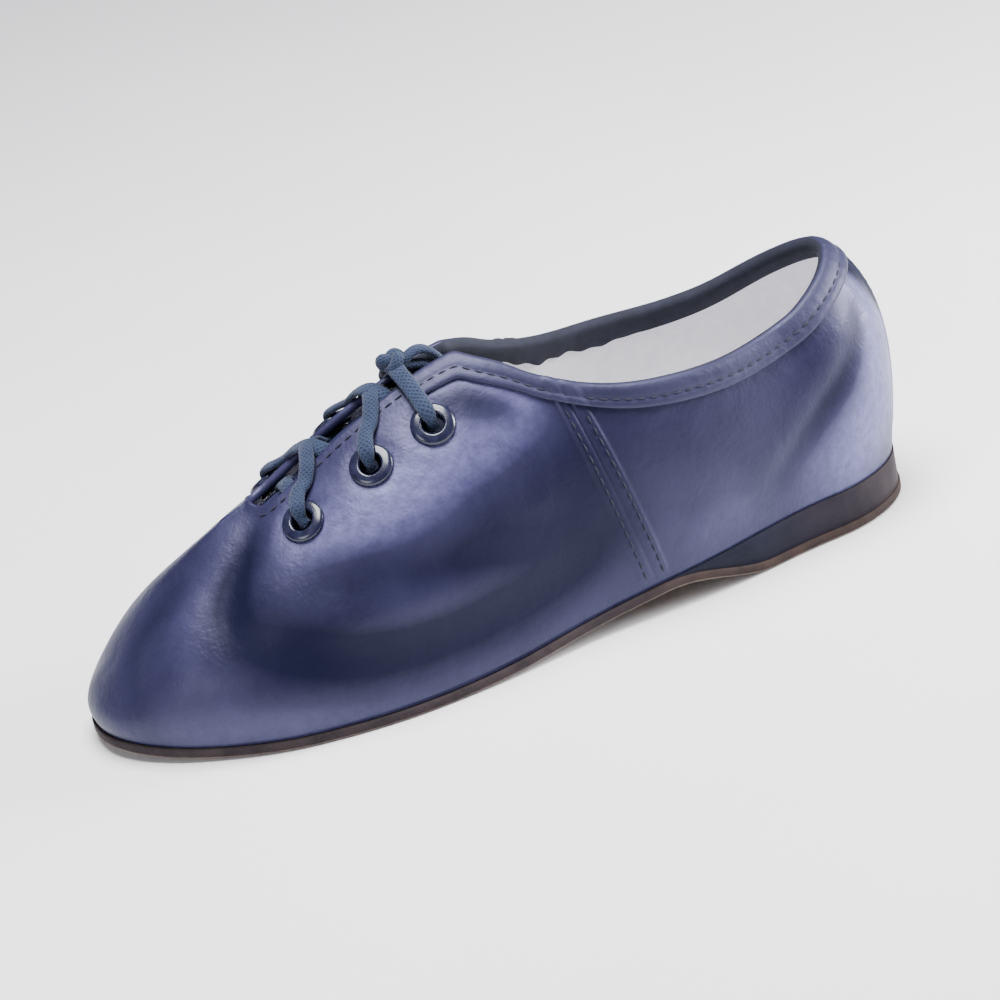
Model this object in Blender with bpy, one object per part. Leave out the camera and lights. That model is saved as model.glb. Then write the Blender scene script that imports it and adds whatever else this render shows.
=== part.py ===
"""A child's lace-up jazz shoe, the left one, in metres.

The toe points to -X, the outer side of the foot is at -Y and the shoe stands on z = 0.
Every piece is worked out from one form of the last: a station runs along its lower edge from
the heel (0) to the toe (1), and a turn climbs from that edge (0) to the ridge of the last (pi / 2).
"""
import math

import bpy
import numpy as np
from mathutils import Matrix, Vector

# Last
LENGTH = 0.188
BALL_WIDTH = 0.063
INSTEP_HEIGHT = 0.060
BACK_HEIGHT = 0.0595
HEEL_ROUND = 0.023
TOE_ROUND = 0.036
TOE_SPRING = 0.002
TOE_SQUARENESS = 2.3

# Materials' thickness and the space between curved pieces
WALL = 0.0016
SOLE = 0.002
WEDGE = 0.0074
INSOLE = 0.0012
TONGUE = 0.0016
CLEARANCE = 0.0003

# Upper
MARGIN = 0.007
SEAM_WIDTH = 0.0062
SEAM_RISE = 0.0005
SEAM_STATION = 0.368
SEAM_LEAN = 0.060
SEAM_SPREAD = 0.13
STRIP_HALF = 0.0052
STEP_RUN = 0.0008
THROAT_TOP_HALF = 0.0035
THROAT_LOW_HALF = 0.0048
THROAT_END = 0.775
THROAT_ROUND = 0.030
FACING_START = 0.45
CORNER_SOFTNESS = 0.010

# Collar binding
BINDING_WIDTH = 0.0055
BINDING_THICK = 0.0008
BINDING_END = 0.645
BINDING_SLACK = 0.0007

# Sole
SOLE_EDGE = 0.0006
HEEL_FLAT_END = 0.215
WAIST_START = 0.36
WEDGE_TIP = 0.0008
WEDGE_TIP_RUN = 0.010

# Tongue
TONGUE_TOP = 0.500
TONGUE_LOW = 0.79
TONGUE_HALF_TOP = 0.017
TONGUE_HALF_LOW = 0.007
TONGUE_SEAM = 0.025
TONGUE_DROOP = 0.009
TONGUE_DROOP_SHARE = 0.35

# Eyelets
EYELET_STATIONS = (0.609, 0.706, 0.812)
EYELET_INSET = 0.0136
EYELET_HOLE = 0.0024
EYELET_BARREL = 0.0030
EYELET_FLANGE = 0.0048
EYELET_BACK = 0.0040
EYELET_DOME = 0.0008
EYELET_SINK = 0.00045

# Laces
LACE_HALF_WIDTH = 0.0022
LACE_HALF_THICK = 0.0009
LACE_END_HALF = 0.0010
KNOT_SIZE = (0.0040, 0.0034, 0.0026)
KNOT_STATION = 0.582
KNOT_RISE = 0.0030
KNOT_APPROACH = 0.50
FLANGE_SHARES = (0.20, 0.60)

# Plan of the last: station, ridge line and half width in shares of the ball width
PLAN = np.array((
    # station, axis, half
    (0.00, 0.000, 0.300),
    (0.15, 0.000, 0.332),
    (0.30, -0.030, 0.383),
    (0.45, -0.055, 0.378),
    (0.60, -0.045, 0.450),
    (0.70, -0.015, 0.490),
    (0.80, 0.020, 0.480),
    (0.90, 0.055, 0.420),
    (1.00, 0.080, 0.360),
))

# Side view: heel rise and toe spring in shares of their sizes, ridge in shares of the instep height
SIDE = np.array((
    # station, heel rise, toe spring, ridge
    (0.00, 1.000, 0.00, 1.090),
    (0.15, 0.965, 0.00, 1.020),
    (0.30, 0.770, 0.00, 1.185),
    (0.45, 0.365, 0.00, 1.128),
    (0.55, 0.105, 0.00, 1.075),
    (0.65, 0.000, 0.00, 0.950),
    (0.75, 0.000, 0.00, 0.772),
    (0.85, 0.000, 0.12, 0.640),
    (0.93, 0.000, 0.42, 0.530),
    (1.00, 0.000, 1.00, 0.330),
))

# Fullness of the wall: how soon it leans in, and how far it bulges over its lower edge
FULLNESS = np.array((
    # station, lean, bulge
    (0.00, 0.60, 0.48),
    (0.20, 0.74, 0.40),
    (0.45, 1.30, 0.25),
    (0.70, 1.38, 0.24),
    (1.00, 1.38, 0.24),
))
RISE_POWER = 0.95

# Topline: station and height in shares of the back height
TOPLINE = np.array((
    # station, height
    (0.00, 1.000),
    (0.06, 0.930),
    (0.12, 0.870),
    (0.20, 0.835),
    (0.29, 0.845),
    (0.37, 0.880),
    (0.45, 0.962),
    (0.50, 1.030),
    (0.55, 1.074),
    (0.62, 1.130),
))
TOPLINE_END = 0.62

# Route of each tucked lace end: station along the shoe, offset from the ridge line and rise over it
LACE_ENDS = {
    "lace_end_outer": (
        (0.5585, 0.0000, -0.0004),
        (0.5490, 0.0000, -0.0014),
        (0.5400, 0.0000, -0.0032),
        (0.5310, -0.0001, -0.0056),
        (0.5220, -0.0003, -0.0078),
        (0.5120, -0.0008, -0.0096),
        (0.5030, -0.0012, -0.0106),
        (0.4960, -0.0015, -0.0125),
        (0.4920, -0.0016, -0.0165),
        (0.4905, -0.0016, -0.0215),
        (0.4900, -0.0016, -0.0260),
    ),
    "lace_end_inner": (
        (0.5585, 0.0000, 0.0022),
        (0.5480, 0.0000, 0.0018),
        (0.5380, 0.0000, 0.0002),
        (0.5290, 0.0001, -0.0022),
        (0.5200, 0.0003, -0.0048),
        (0.5100, 0.0008, -0.0068),
        (0.5000, 0.0012, -0.0078),
        (0.4910, 0.0015, -0.0096),
        (0.4845, 0.0016, -0.0135),
        (0.4820, 0.0016, -0.0185),
        (0.4815, 0.0016, -0.0235),
    ),
}

# Mesh density
RING_STEPS = 38
WALL_ROWS = (0.13, 0.22, 0.31, 0.40, 0.49, 0.58, 0.67, 0.76, 0.84, 0.92, 1.0)
MARGIN_ROWS = (1.0, 0.5, 0.0)
CROWDING = 0.3
SOLE_STEPS = 26
SHEET_ROWS = 4
SHEET_START = 0.004
TONGUE_STEPS = 10
TONGUE_ACROSS = 8
EYELET_SEGMENTS = 14
CROSSING_STEPS = 10
KNOT_STEPS = 4
LACE_SIDES = 8
KNOT_ROWS = 7
KNOT_SIDES = 12
HALVINGS = 30
OUTER, INNER = -1, 1
QUARTER = math.pi / 2

# Small reaches of the form: a step for slopes, the lowest turns searched and the run of a step's fade
SLOPE_STEP = 1e-4
LOWEST_TURN = 0.05
LOWEST_FACING = 0.6
LIFT_FADE = 0.2
NEAR_EDGE = 0.98


def smooth(table, column, place):
    """Reads a table's column as one smooth curve through its rows."""
    xs = table[:, 0]
    ys = table[:, column]
    slope = np.gradient(ys, xs)
    row = np.clip(np.searchsorted(xs, place) - 1, 0, len(xs) - 2)
    span = xs[row + 1] - xs[row]
    t = np.clip((place - xs[row]) / span, 0.0, 1.0)
    start = (2 * t**3 - 3 * t**2 + 1) * ys[row] + (t**3 - 2 * t**2 + t) * span * slope[row]
    end = (3 * t**2 - 2 * t**3) * ys[row + 1] + (t**3 - t**2) * span * slope[row + 1]
    return start + end


def ease(low, high, value):
    """Climbs softly from 0 at low to 1 at high."""
    t = np.clip((value - low) / (high - low), 0.0, 1.0)
    return t * t * (3 - 2 * t)


def rounding(station):
    """Closes the outline at heel and toe."""
    length = station * LENGTH
    heel = np.clip((HEEL_ROUND - length) / HEEL_ROUND, 0.0, 1.0)
    toe = np.clip((length - (LENGTH - TOE_ROUND)) / TOE_ROUND, 0.0, 1.0)
    return np.sqrt(1 - heel**2) * np.clip(1 - toe**TOE_SQUARENESS, 0.0, 1.0) ** (1 / TOE_SQUARENESS)


def axis_at(station):
    return BALL_WIDTH * smooth(PLAN, 1, station)


def half_at(station):
    return BALL_WIDTH * smooth(PLAN, 2, station) * rounding(station)


def feather_at(station):
    """Height of the upper's lower edge, over sole and wedge."""
    ground = SOLE + CLEARANCE
    heel = (WEDGE + CLEARANCE) * np.maximum(smooth(SIDE, 1, station), 0.0)
    return ground + heel + TOE_SPRING * np.maximum(smooth(SIDE, 2, station), 0.0)


def ridge_at(station):
    return INSTEP_HEIGHT * smooth(SIDE, 3, station)


def ridge_station(station):
    """The station on the ridge that a column of the wall climbs to."""
    start = HEEL_ROUND / LENGTH
    return start + station * (1 - start - TOE_ROUND / LENGTH)


def column_station(along):
    """The column of the wall that climbs to a station of the ridge."""
    start = HEEL_ROUND / LENGTH
    return (along - start) / (1 - start - TOE_ROUND / LENGTH)


def skin(side, station, turn):
    """Outer skin of the last in the part's axes, for one side of the foot."""
    station = np.asarray(station, float)
    turn = np.asarray(turn, float)
    foot = np.stack((station, axis_at(station) + side * half_at(station)), -1)
    top = ridge_station(station)
    crown = np.stack((top, axis_at(top)), -1)
    lean = smooth(FULLNESS, 1, station)
    bulge = smooth(FULLNESS, 2, station)
    cosine = np.clip(np.cos(turn), 0.0, 1.0)
    sine = np.sin(turn)
    reach = cosine**lean + bulge * sine * cosine**2
    plan = crown + (foot - crown) * reach[..., None]
    along = np.clip(plan[..., 0], 0.0, 1.0)
    low = feather_at(along)
    height = low + (ridge_at(along) - low) * sine**RISE_POWER
    return np.stack((LENGTH / 2 - plan[..., 0] * LENGTH, plan[..., 1], height), -1)


def outward(side, station, turn):
    """Unit normal of the skin, pointing out of the shoe."""
    step = SLOPE_STEP
    low = np.clip(np.asarray(station, float) - step, 0.0, 1.0)
    high = np.clip(np.asarray(station, float) + step, 0.0, 1.0)
    turn = np.clip(np.asarray(turn, float), 2 * step, QUARTER - 2 * step)
    along = skin(side, high, turn) - skin(side, low, turn)
    up = skin(side, station, turn + step) - skin(side, station, turn - step)
    normal = np.cross(along, up) * side
    return normal / np.linalg.norm(normal, axis=-1, keepdims=True)


def solve_turn(above, low=LOWEST_TURN, high=QUARTER):
    """Finds by halving the turn, or the station, where a rising measure passes zero."""
    for _ in range(HALVINGS):
        middle = (low + high) / 2
        if above(middle) > 0:
            high = middle
        else:
            low = middle
    return (low + high) / 2


def column_over(side, along, turn):
    """The column whose point at a turn lies over a station of the shoe."""
    def past(station):
        return 0.5 - skin(side, station, turn)[0] / LENGTH - along

    return solve_turn(past, low=0.0, high=1.0)


def throat_half(along):
    """Half the gap between the facings, at a station of the ridge."""
    start = ridge_station(TOPLINE_END)
    fall = np.clip((along - start) / (THROAT_END - start), 0.0, 1.0)
    half = THROAT_TOP_HALF + (THROAT_LOW_HALF - THROAT_TOP_HALF) * fall
    end = np.clip((along - (THROAT_END - THROAT_ROUND)) / THROAT_ROUND, 0.0, 1.0)
    return half * math.sqrt(1 - end**2)


def edge_turn(side, station):
    """The turn where the wall ends: at topline, facing or ridge, with a soft corner between the first two."""
    def over_facing(turn):
        point = skin(side, station, turn)
        along = 0.5 - point[0] / LENGTH
        return throat_half(along) - abs(point[1] - axis_at(along))

    def over_topline(turn):
        return skin(side, station, turn)[2] - BACK_HEIGHT * smooth(TOPLINE, 1, station)

    has_facing = FACING_START < station and ridge_station(station) < THROAT_END
    facing = solve_turn(over_facing, low=LOWEST_FACING) if has_facing else QUARTER
    if station > TOPLINE_END:
        return facing
    topline = solve_turn(over_topline)
    if not has_facing:
        return topline
    softness = CORNER_SOFTNESS
    return -softness * math.log(math.exp(-facing / softness) + math.exp(-topline / softness))


def seam_shift(station):
    """How strongly a column leans forward as it climbs, greatest at the side seam."""
    return SEAM_LEAN * math.exp(-((station - SEAM_STATION) / SEAM_SPREAD) ** 2)


def heel_reach(station):
    """Distance from the middle of the back, out along the heel's round."""
    return PLAN[0, 2] * BALL_WIDTH * math.sqrt(1 - np.clip(1 - station * LENGTH / HEEL_ROUND, 0.0, 1.0) ** 2)


def reach_station(reach):
    """The station of the heel's round at a distance from the middle of the back."""
    return HEEL_ROUND / LENGTH * (1 - math.sqrt(1 - (reach / (PLAN[0, 2] * BALL_WIDTH)) ** 2))


def ring_stations():
    """Stations from heel to toe, closer at both ends, with both edges of seam and back strip."""
    seam_half = SEAM_WIDTH / 2 / LENGTH
    step = STEP_RUN / LENGTH
    strip = [reach_station(STRIP_HALF), reach_station(STRIP_HALF + STEP_RUN)]
    seam = [SEAM_STATION + sign * reach for sign in (-1, 1) for reach in (seam_half, seam_half + step)]
    fixed = sorted(strip + seam + [SEAM_STATION])
    even = [(1 - math.cos(math.pi * i / RING_STEPS)) / 2 for i in range(RING_STEPS + 1)]

    def crowded(place):
        room = CROWDING * math.pi / RING_STEPS * math.sqrt(place * (1 - place))
        return min(abs(place - other) for other in fixed) < room

    between = [place for place in even[1:-1] if not crowded(place)]
    return sorted([0.0] + between + fixed + [1.0])


def lift(station):
    """Rise of the skin over the doubled leather of side seam and back strip."""
    from_seam = abs(station - SEAM_STATION) * LENGTH
    seam = 1 - ease(SEAM_WIDTH / 2, SEAM_WIDTH / 2 + STEP_RUN, from_seam)
    strip = 1 - ease(STRIP_HALF, STRIP_HALF + STEP_RUN, heel_reach(station))
    return SEAM_RISE * max(seam, strip)


def wall_spot(side, station, share, out=0.0):
    """Place, turn and point of a wall column that leans with the side seam."""
    place = station + seam_shift(station) * share
    turn = edge_turn(side, place) * share
    rise = lift(station) * ease(0.0, LIFT_FADE, turn) + out
    return place, turn, skin(side, place, turn) + outward(side, place, turn) * rise


def make_material(name, colour, roughness, metallic=0.0):
    material = bpy.data.materials.new(name)
    material.use_nodes = True
    shader = material.node_tree.nodes["Principled BSDF"]
    shader.inputs["Base Color"].default_value = (*colour, 1.0)
    shader.inputs["Roughness"].default_value = roughness
    shader.inputs["Metallic"].default_value = metallic
    return material


def add_object(name, points, faces, material, parent):
    mesh = bpy.data.meshes.new(name)
    mesh.from_pydata([tuple(map(float, point)) for point in points], [], faces)
    mesh.validate()
    mesh.shade_smooth()
    mesh.set_sharp_from_angle(angle=math.radians(40))
    mesh.materials.append(material)
    piece = bpy.data.objects.new(name, mesh)
    bpy.context.collection.objects.link(piece)
    piece.parent = parent
    return piece


def strip_faces(rows, columns, start=0, closed=False, flip=False):
    """Quads between rows of points stored one row after another."""
    faces = []
    for row in range(rows - 1):
        for column in range(columns if closed else columns - 1):
            after = (column + 1) % columns
            a = start + row * columns + column
            b = start + row * columns + after
            quad = (a, b, b + columns, a + columns)
            faces.append(quad[::-1] if flip else quad)
    return faces


def upper_columns():
    """Columns of skin points around the shoe, with the shared ridge at the toe."""
    stations = ring_stations()
    outer = [(OUTER, place) for place in stations]
    inner = [(INNER, place) for place in stations[1:-1]][::-1]
    return outer + inner


def margin_point(side, station, share):
    """A point of the leather turned in under the last."""
    foot = skin(side, station, 0.0)
    crown = skin(side, station, QUARTER)
    inward = (crown - foot)[:2]
    inward = inward / np.linalg.norm(inward)
    plan = foot[:2] + inward * MARGIN * share
    along = 0.5 - plan[0] / LENGTH
    return np.array((plan[0], plan[1], feather_at(along)))


def build_upper(material, parent):
    """The upper as one skin from margin to opening, thickened inward."""
    points = []
    faces = []
    shared = {}
    grid = []
    for side, station in upper_columns():
        column = []
        for share in MARGIN_ROWS:
            column.append(len(points))
            points.append(margin_point(side, station, share))
        for share in WALL_ROWS:
            place, turn, point = wall_spot(side, station, share)
            on_ridge = turn > QUARTER - 1e-6
            key = round(place, 7)
            if on_ridge and key in shared:
                column.append(shared[key])
                continue
            if on_ridge:
                shared[key] = len(points)
            column.append(len(points))
            points.append(point)
        grid.append(column)
    for left, right in zip(grid, grid[1:] + grid[:1]):
        for row in range(len(left) - 1):
            quad = (left[row], left[row + 1], right[row + 1], right[row])
            corners = tuple(dict.fromkeys(quad))
            if len(corners) > 2:
                faces.append(corners)
    upper = add_object("upper", points, faces, material, parent)
    shell = upper.modifiers.new("wall", "SOLIDIFY")
    shell.thickness = WALL
    shell.offset = -1.0
    shell.use_even_offset = True
    shell.use_quality_normals = True
    return upper


def edge_frame(side, station):
    """Edge point of the wall, its outward normal, the way down and the wall's height."""
    place, turn, point = wall_spot(side, station, 1.0)
    normal = outward(side, place, turn)
    down = wall_spot(side, station, NEAR_EDGE)[2] - point
    height = np.linalg.norm(down) / (1 - NEAR_EDGE)
    down = down - normal * down.dot(normal)
    return point, normal, down / np.linalg.norm(down), height


def build_binding(material, parent):
    """Leather folded over the topline, round both corners and onto the facings."""
    near = BINDING_SLACK
    far = BINDING_SLACK + BINDING_THICK
    inside = -WALL - BINDING_SLACK
    profile = (
        # down the wall, out from its skin
        (BINDING_WIDTH, far),
        (0.0, far),
        (-far * 0.8, near * 0.5),
        (-far, -WALL / 2),
        (-far * 0.8, inside),
        (0.0, inside - BINDING_THICK),
        (BINDING_WIDTH * 0.9, inside - BINDING_THICK),
        (BINDING_WIDTH * 0.9, inside),
        (-near, inside),
        (-near, near),
        (BINDING_WIDTH, near),
    )
    places = [place for place in ring_stations() if place + seam_shift(place) < BINDING_END]
    sections = [(OUTER, place) for place in places[::-1]] + [(INNER, place) for place in places[1:]]
    points = []
    for side, station in sections:
        point, normal, down, height = edge_frame(side, station)
        for along, out in profile:
            if along > 0:
                points.append(wall_spot(side, station, 1 - along / height, out)[2])
            else:
                points.append(point + normal * out + down * along)
    size = len(profile)
    faces = strip_faces(len(sections), size, closed=True, flip=True)
    faces.append(tuple(range(size)))
    last = (len(sections) - 1) * size
    faces.append(tuple(range(last, last + size))[::-1])
    return add_object("collar_binding", points, faces, material, parent)


def build_sheet(name, places, edge, top, bottom, material, parent):
    """A flat closed sheet between two sides, pinched to a point where its width ends."""
    points = []
    columns = SHEET_ROWS + 1
    for height in (top, bottom):
        for place in places:
            left, right = edge(OUTER, place), edge(INNER, place)
            for step in range(columns):
                plan = left + (right - left) * step / SHEET_ROWS
                along = 0.5 - plan[0] / LENGTH
                points.append((plan[0], plan[1], height(along)))
    count = len(places) * columns
    faces = strip_faces(len(places), columns)
    faces += strip_faces(len(places), columns, start=count, flip=True)
    rim = [row * columns for row in range(len(places))]
    rim += [(len(places) - 1) * columns + step for step in range(1, columns)]
    rim += [row * columns + SHEET_ROWS for row in range(len(places) - 2, -1, -1)]
    rim += list(range(SHEET_ROWS - 1, 0, -1))
    for here, after in zip(rim, rim[1:] + rim[:1]):
        faces.append((here, after, after + count, here + count))
    return add_object(name, points, faces, material, parent)


def outline(offset):
    """The lower edge of the last in plan, moved out by an offset, or in where it is negative."""
    def edge(side, station):
        low, high = max(station - SLOPE_STEP, 0.0), min(station + SLOPE_STEP, 1.0)
        foot = skin(side, station, 0.0)[:2]
        run = skin(side, high, 0.0)[:2] - skin(side, low, 0.0)[:2]
        out = np.array((run[1], -run[0])) * side
        out = out / np.linalg.norm(out)
        if station in (0.0, 1.0):
            out = np.array((1.0 if station == 0.0 else -1.0, 0.0))
        return foot + out * offset
    return edge


def sheet_stations():
    first = math.acos(1 - 2 * SHEET_START)
    turns = np.linspace(first, math.pi - first, SOLE_STEPS + 1)
    return [(1 - math.cos(turn)) / 2 for turn in turns]


def sole_underside(along):
    """Flat under the heel, lifted at the waist and flat again under the ball."""
    waist = feather_at(along) - CLEARANCE - SOLE
    return waist * ease(HEEL_FLAT_END, WAIST_START, along)


def sole_topside(along):
    return sole_underside(along) + SOLE


def wedge_end():
    """The station where the wedge has thinned to its blunt front edge."""
    def spare(station):
        return feather_at(station) - sole_topside(station) - 2 * CLEARANCE - WEDGE_TIP

    low, high = HEEL_FLAT_END, WAIST_START
    for _ in range(HALVINGS):
        middle = (low + high) / 2
        if spare(middle) > 0:
            low = middle
        else:
            high = middle
    return low


def build_soles(materials, parent):
    """Outsole, heel wedge and insole, one over the other."""
    build_sheet("outsole", sheet_stations(), outline(SOLE_EDGE), sole_topside, sole_underside,
                materials["sole"], parent)
    tip = wedge_end()
    wedge_places = [place for place in sheet_stations() if place < tip - WEDGE_TIP_RUN] + [tip]
    build_sheet("heel_wedge", wedge_places, outline(SOLE_EDGE / 2),
                lambda along: feather_at(along) - CLEARANCE,
                lambda along: sole_topside(along) + CLEARANCE,
                materials["wedge"], parent)
    floor = WALL + CLEARANCE
    build_sheet("insole", sheet_stations(), outline(-WALL - 2 * CLEARANCE),
                lambda along: feather_at(along) + floor + INSOLE,
                lambda along: feather_at(along) + floor,
                materials["insole"], parent)


def tongue_depth(along):
    """Depth under the skin: clear of the eyelets' backs, and against the vamp where it is stitched."""
    under_eyelets = 2 * EYELET_SINK + CLEARANCE
    return WALL + CLEARANCE + under_eyelets * (1 - ease(TONGUE_LOW - TONGUE_SEAM, TONGUE_LOW, along))


def build_tongue(material, parent):
    """A sheet under the facings, bent across the instep and drooping at its free end."""
    steps, across = TONGUE_STEPS, TONGUE_ACROSS
    points = []
    for thickness in (0.0, TONGUE):
        for row in range(steps + 1):
            share = row / steps
            along = TONGUE_TOP + (TONGUE_LOW - TONGUE_TOP) * share
            depth = tongue_depth(along) + thickness
            half = TONGUE_HALF_TOP + (TONGUE_HALF_LOW - TONGUE_HALF_TOP) * share
            station = column_station(along)
            low = solve_turn(lambda turn: half - abs(skin(OUTER, station, turn)[1] - axis_at(along)))
            droop = TONGUE_DROOP * float(1 - ease(0.0, TONGUE_DROOP_SHARE, share))
            for step in range(across + 1):
                slide = 2 * step / across - 1
                side = OUTER if slide < 0 else INNER
                turn = QUARTER + (low - QUARTER) * abs(slide)
                spot = skin(side, station, turn) - outward(side, station, turn) * depth
                points.append(spot - np.array((0.0, 0.0, droop)))
    columns = across + 1
    count = (steps + 1) * columns
    faces = strip_faces(steps + 1, columns)
    faces += strip_faces(steps + 1, columns, start=count, flip=True)
    rim = [row * columns for row in range(steps + 1)]
    rim += [steps * columns + step for step in range(1, columns)]
    rim += [row * columns + across for row in range(steps - 1, -1, -1)]
    rim += list(range(across - 1, 0, -1))
    for here, after in zip(rim, rim[1:] + rim[:1]):
        faces.append((here, after, after + count, here + count))
    return add_object("tongue", points, faces, material, parent)


def eyelet_place(side, station):
    """Centre of an eyelet on the skin and its outward normal."""
    edge = edge_turn(side, station)

    def short_of_inset(turn):
        path = skin(side, station, np.linspace(turn, edge, 8))
        return EYELET_INSET - np.linalg.norm(np.diff(path, axis=0), axis=1).sum()

    turn = solve_turn(short_of_inset, low=LOWEST_FACING, high=edge)
    return turn, skin(side, station, turn), outward(side, station, turn)


def placing(point, normal):
    """A matrix that stands a turned piece on a point of the skin."""
    spin = Vector(normal).to_track_quat("Z", "X")
    return Matrix.Translation(Vector(point)) @ spin.to_matrix().to_4x4()


def turned_ring(profile, segments):
    """Points and faces of a ring turned from a closed profile of radius and height."""
    points = []
    for step in range(segments):
        angle = 2 * math.pi * step / segments
        for radius, height in profile:
            points.append((radius * math.cos(angle), radius * math.sin(angle), height))
    size = len(profile)
    faces = []
    for step in range(segments):
        after = (step + 1) % segments
        for place in range(size):
            up = (place + 1) % size
            faces.append((step * size + place, after * size + place,
                          after * size + up, step * size + up))
    return points, faces


def cut_eyelet_hole(upper, name, matrix, parent):
    """A wire cutter through both faces of the wall."""
    radius = EYELET_BARREL + CLEARANCE
    reach = 3 * WALL
    profile = [(math.cos(a) * radius, math.sin(a) * radius)
               for a in (2 * math.pi * i / EYELET_SEGMENTS for i in range(EYELET_SEGMENTS))]
    points = [(x, y, z) for z in (-reach, reach) for x, y in profile]
    count = len(profile)
    faces = [(i, (i + 1) % count, count + (i + 1) % count, count + i) for i in range(count)]
    faces += [tuple(range(count))[::-1], tuple(range(count, 2 * count))]
    cutter = add_object(name, points, faces, upper.data.materials[0], parent)
    cutter.matrix_local = matrix
    cutter.hide_render = True
    cutter.display_type = "WIRE"
    cut = upper.modifiers.new(name, "BOOLEAN")
    cut.operation = "DIFFERENCE"
    cut.solver = "EXACT"
    cut.object = cutter


def build_eyelets(upper, material, parent):
    """Three pairs of eyelets, clenched through the facings."""
    base = CLEARANCE
    back = -WALL - CLEARANCE - EYELET_SINK
    profile = (
        (EYELET_HOLE, back - EYELET_SINK),
        (EYELET_BACK, back - EYELET_SINK),
        (EYELET_BACK, back),
        (EYELET_BARREL, back),
        (EYELET_BARREL, base),
        (EYELET_FLANGE, base),
        (EYELET_FLANGE * 0.9, base + EYELET_DOME * 0.8),
        (EYELET_HOLE * 1.35, base + EYELET_DOME),
        (EYELET_HOLE, base + EYELET_DOME * 0.5),
    )
    for side, word in ((OUTER, "outer"), (INNER, "inner")):
        for number, station in enumerate(EYELET_STATIONS, 1):
            _, point, normal = eyelet_place(side, station)
            matrix = placing(point, normal)
            cut_eyelet_hole(upper, f"cut_{word}_{number}", matrix, parent)
            points, faces = turned_ring(profile, EYELET_SEGMENTS)
            eyelet = add_object(f"eyelet_{word}_{number}", points, faces, material, parent)
            eyelet.matrix_local = matrix


def lace_tube(path, normals):
    """A flattened tube along a path, its width square to the given normals."""
    path = [np.array(point) for point in path]
    sides = LACE_SIDES
    points = []
    for place, point in enumerate(path):
        ahead = path[min(place + 1, len(path) - 1)] - path[max(place - 1, 0)]
        ahead = ahead / np.linalg.norm(ahead)
        across = np.cross(normals[place], ahead)
        across = across / np.linalg.norm(across)
        up = np.cross(ahead, across)
        for step in range(sides):
            angle = 2 * math.pi * step / sides
            spot = across * LACE_HALF_WIDTH * math.cos(angle) + up * LACE_HALF_THICK * math.sin(angle)
            points.append(point + spot)
    faces = strip_faces(len(path), sides, closed=True)
    faces.append(tuple(range(sides))[::-1])
    last = (len(path) - 1) * sides
    faces.append(tuple(range(last, last + sides)))
    return points, faces


def lace_height(share=1.0):
    """Middle of a strand: on the skin, or where the share is 1 on an eyelet's flange."""
    return CLEARANCE + LACE_HALF_THICK + (CLEARANCE + EYELET_DOME) * share


def crossing_path(side, start, end):
    """From an eyelet straight over the throat to the next eyelet up on the other side."""
    first_turn, first, _ = eyelet_place(side, start)
    second_turn, second, _ = eyelet_place(-side, end)
    path, normals = [], []
    for step in range(CROSSING_STEPS + 1):
        share = step / CROSSING_STEPS
        off_middle = abs(1 - 2 * share)
        here = side if share < 0.5 else -side
        base_turn = first_turn if share < 0.5 else second_turn
        turn = QUARTER + (base_turn - QUARTER) * off_middle
        along = 0.5 - (first[0] + (second[0] - first[0]) * share) / LENGTH
        station = column_over(here, along, turn)
        normal = outward(here, station, turn)
        if 2 * step == CROSSING_STEPS:
            normal = outward(side, station, turn) + outward(-side, station, turn)
            normal = normal / np.linalg.norm(normal)
        path.append(skin(here, station, turn) + normal * lace_height(ease(*FLANGE_SHARES, off_middle)))
        normals.append(normal)
    return path, normals


def shoe_point(along, offset, rise):
    """A point over the last, its offset and rise taken from the ridge line."""
    return np.array((LENGTH / 2 - along * LENGTH, axis_at(along) + offset, ridge_at(along) + rise))


def knot_path(side):
    """From a top eyelet over the facing's bound edge up to the knot."""
    first_turn, first, _ = eyelet_place(side, EYELET_STATIONS[0])
    knot = shoe_point(KNOT_STATION, 0.0, KNOT_RISE)
    path, normals = [], []
    for step in range(KNOT_STEPS + 1):
        share = KNOT_APPROACH * step / KNOT_STEPS
        turn = first_turn + (QUARTER - first_turn) * share
        along = 0.5 - (first[0] + (knot[0] - first[0]) * share) / LENGTH
        station = column_over(side, along, turn)
        normal = outward(side, station, turn)
        over_binding = (BINDING_SLACK + BINDING_THICK) * ease(0.0, KNOT_APPROACH / 2, share)
        path.append(skin(side, station, turn) + normal * (lace_height() + over_binding))
        normals.append(normal)
    way = knot - path[-1]
    path.append(knot - way / np.linalg.norm(way) * (max(KNOT_SIZE) + CLEARANCE))
    normals.append(normals[-1])
    return path, normals


def build_laces(material, parent):
    """Crossings joined at their eyelets, a knot over the instep and two tucked ends."""
    runs = []
    for start, end in zip(EYELET_STATIONS[1:][::-1], EYELET_STATIONS[:-1][::-1]):
        for side in (OUTER, INNER):
            runs.append(crossing_path(side, start, end))
    for side in (OUTER, INNER):
        runs.append(knot_path(side))
    laces = None
    for number, (path, normals) in enumerate(runs):
        points, faces = lace_tube(path, normals)
        name = "lace_crossings" if laces is None else f"lace_run_{number}"
        run = add_object(name, points, faces, material, parent)
        if laces is None:
            laces = run
            continue
        run.hide_render = True
        run.display_type = "WIRE"
        join = laces.modifiers.new(name, "BOOLEAN")
        join.operation = "UNION"
        join.solver = "EXACT"
        join.object = run
    add_knot(material, parent)
    for name, route in LACE_ENDS.items():
        add_lace_end(name, route, material, parent)


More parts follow.
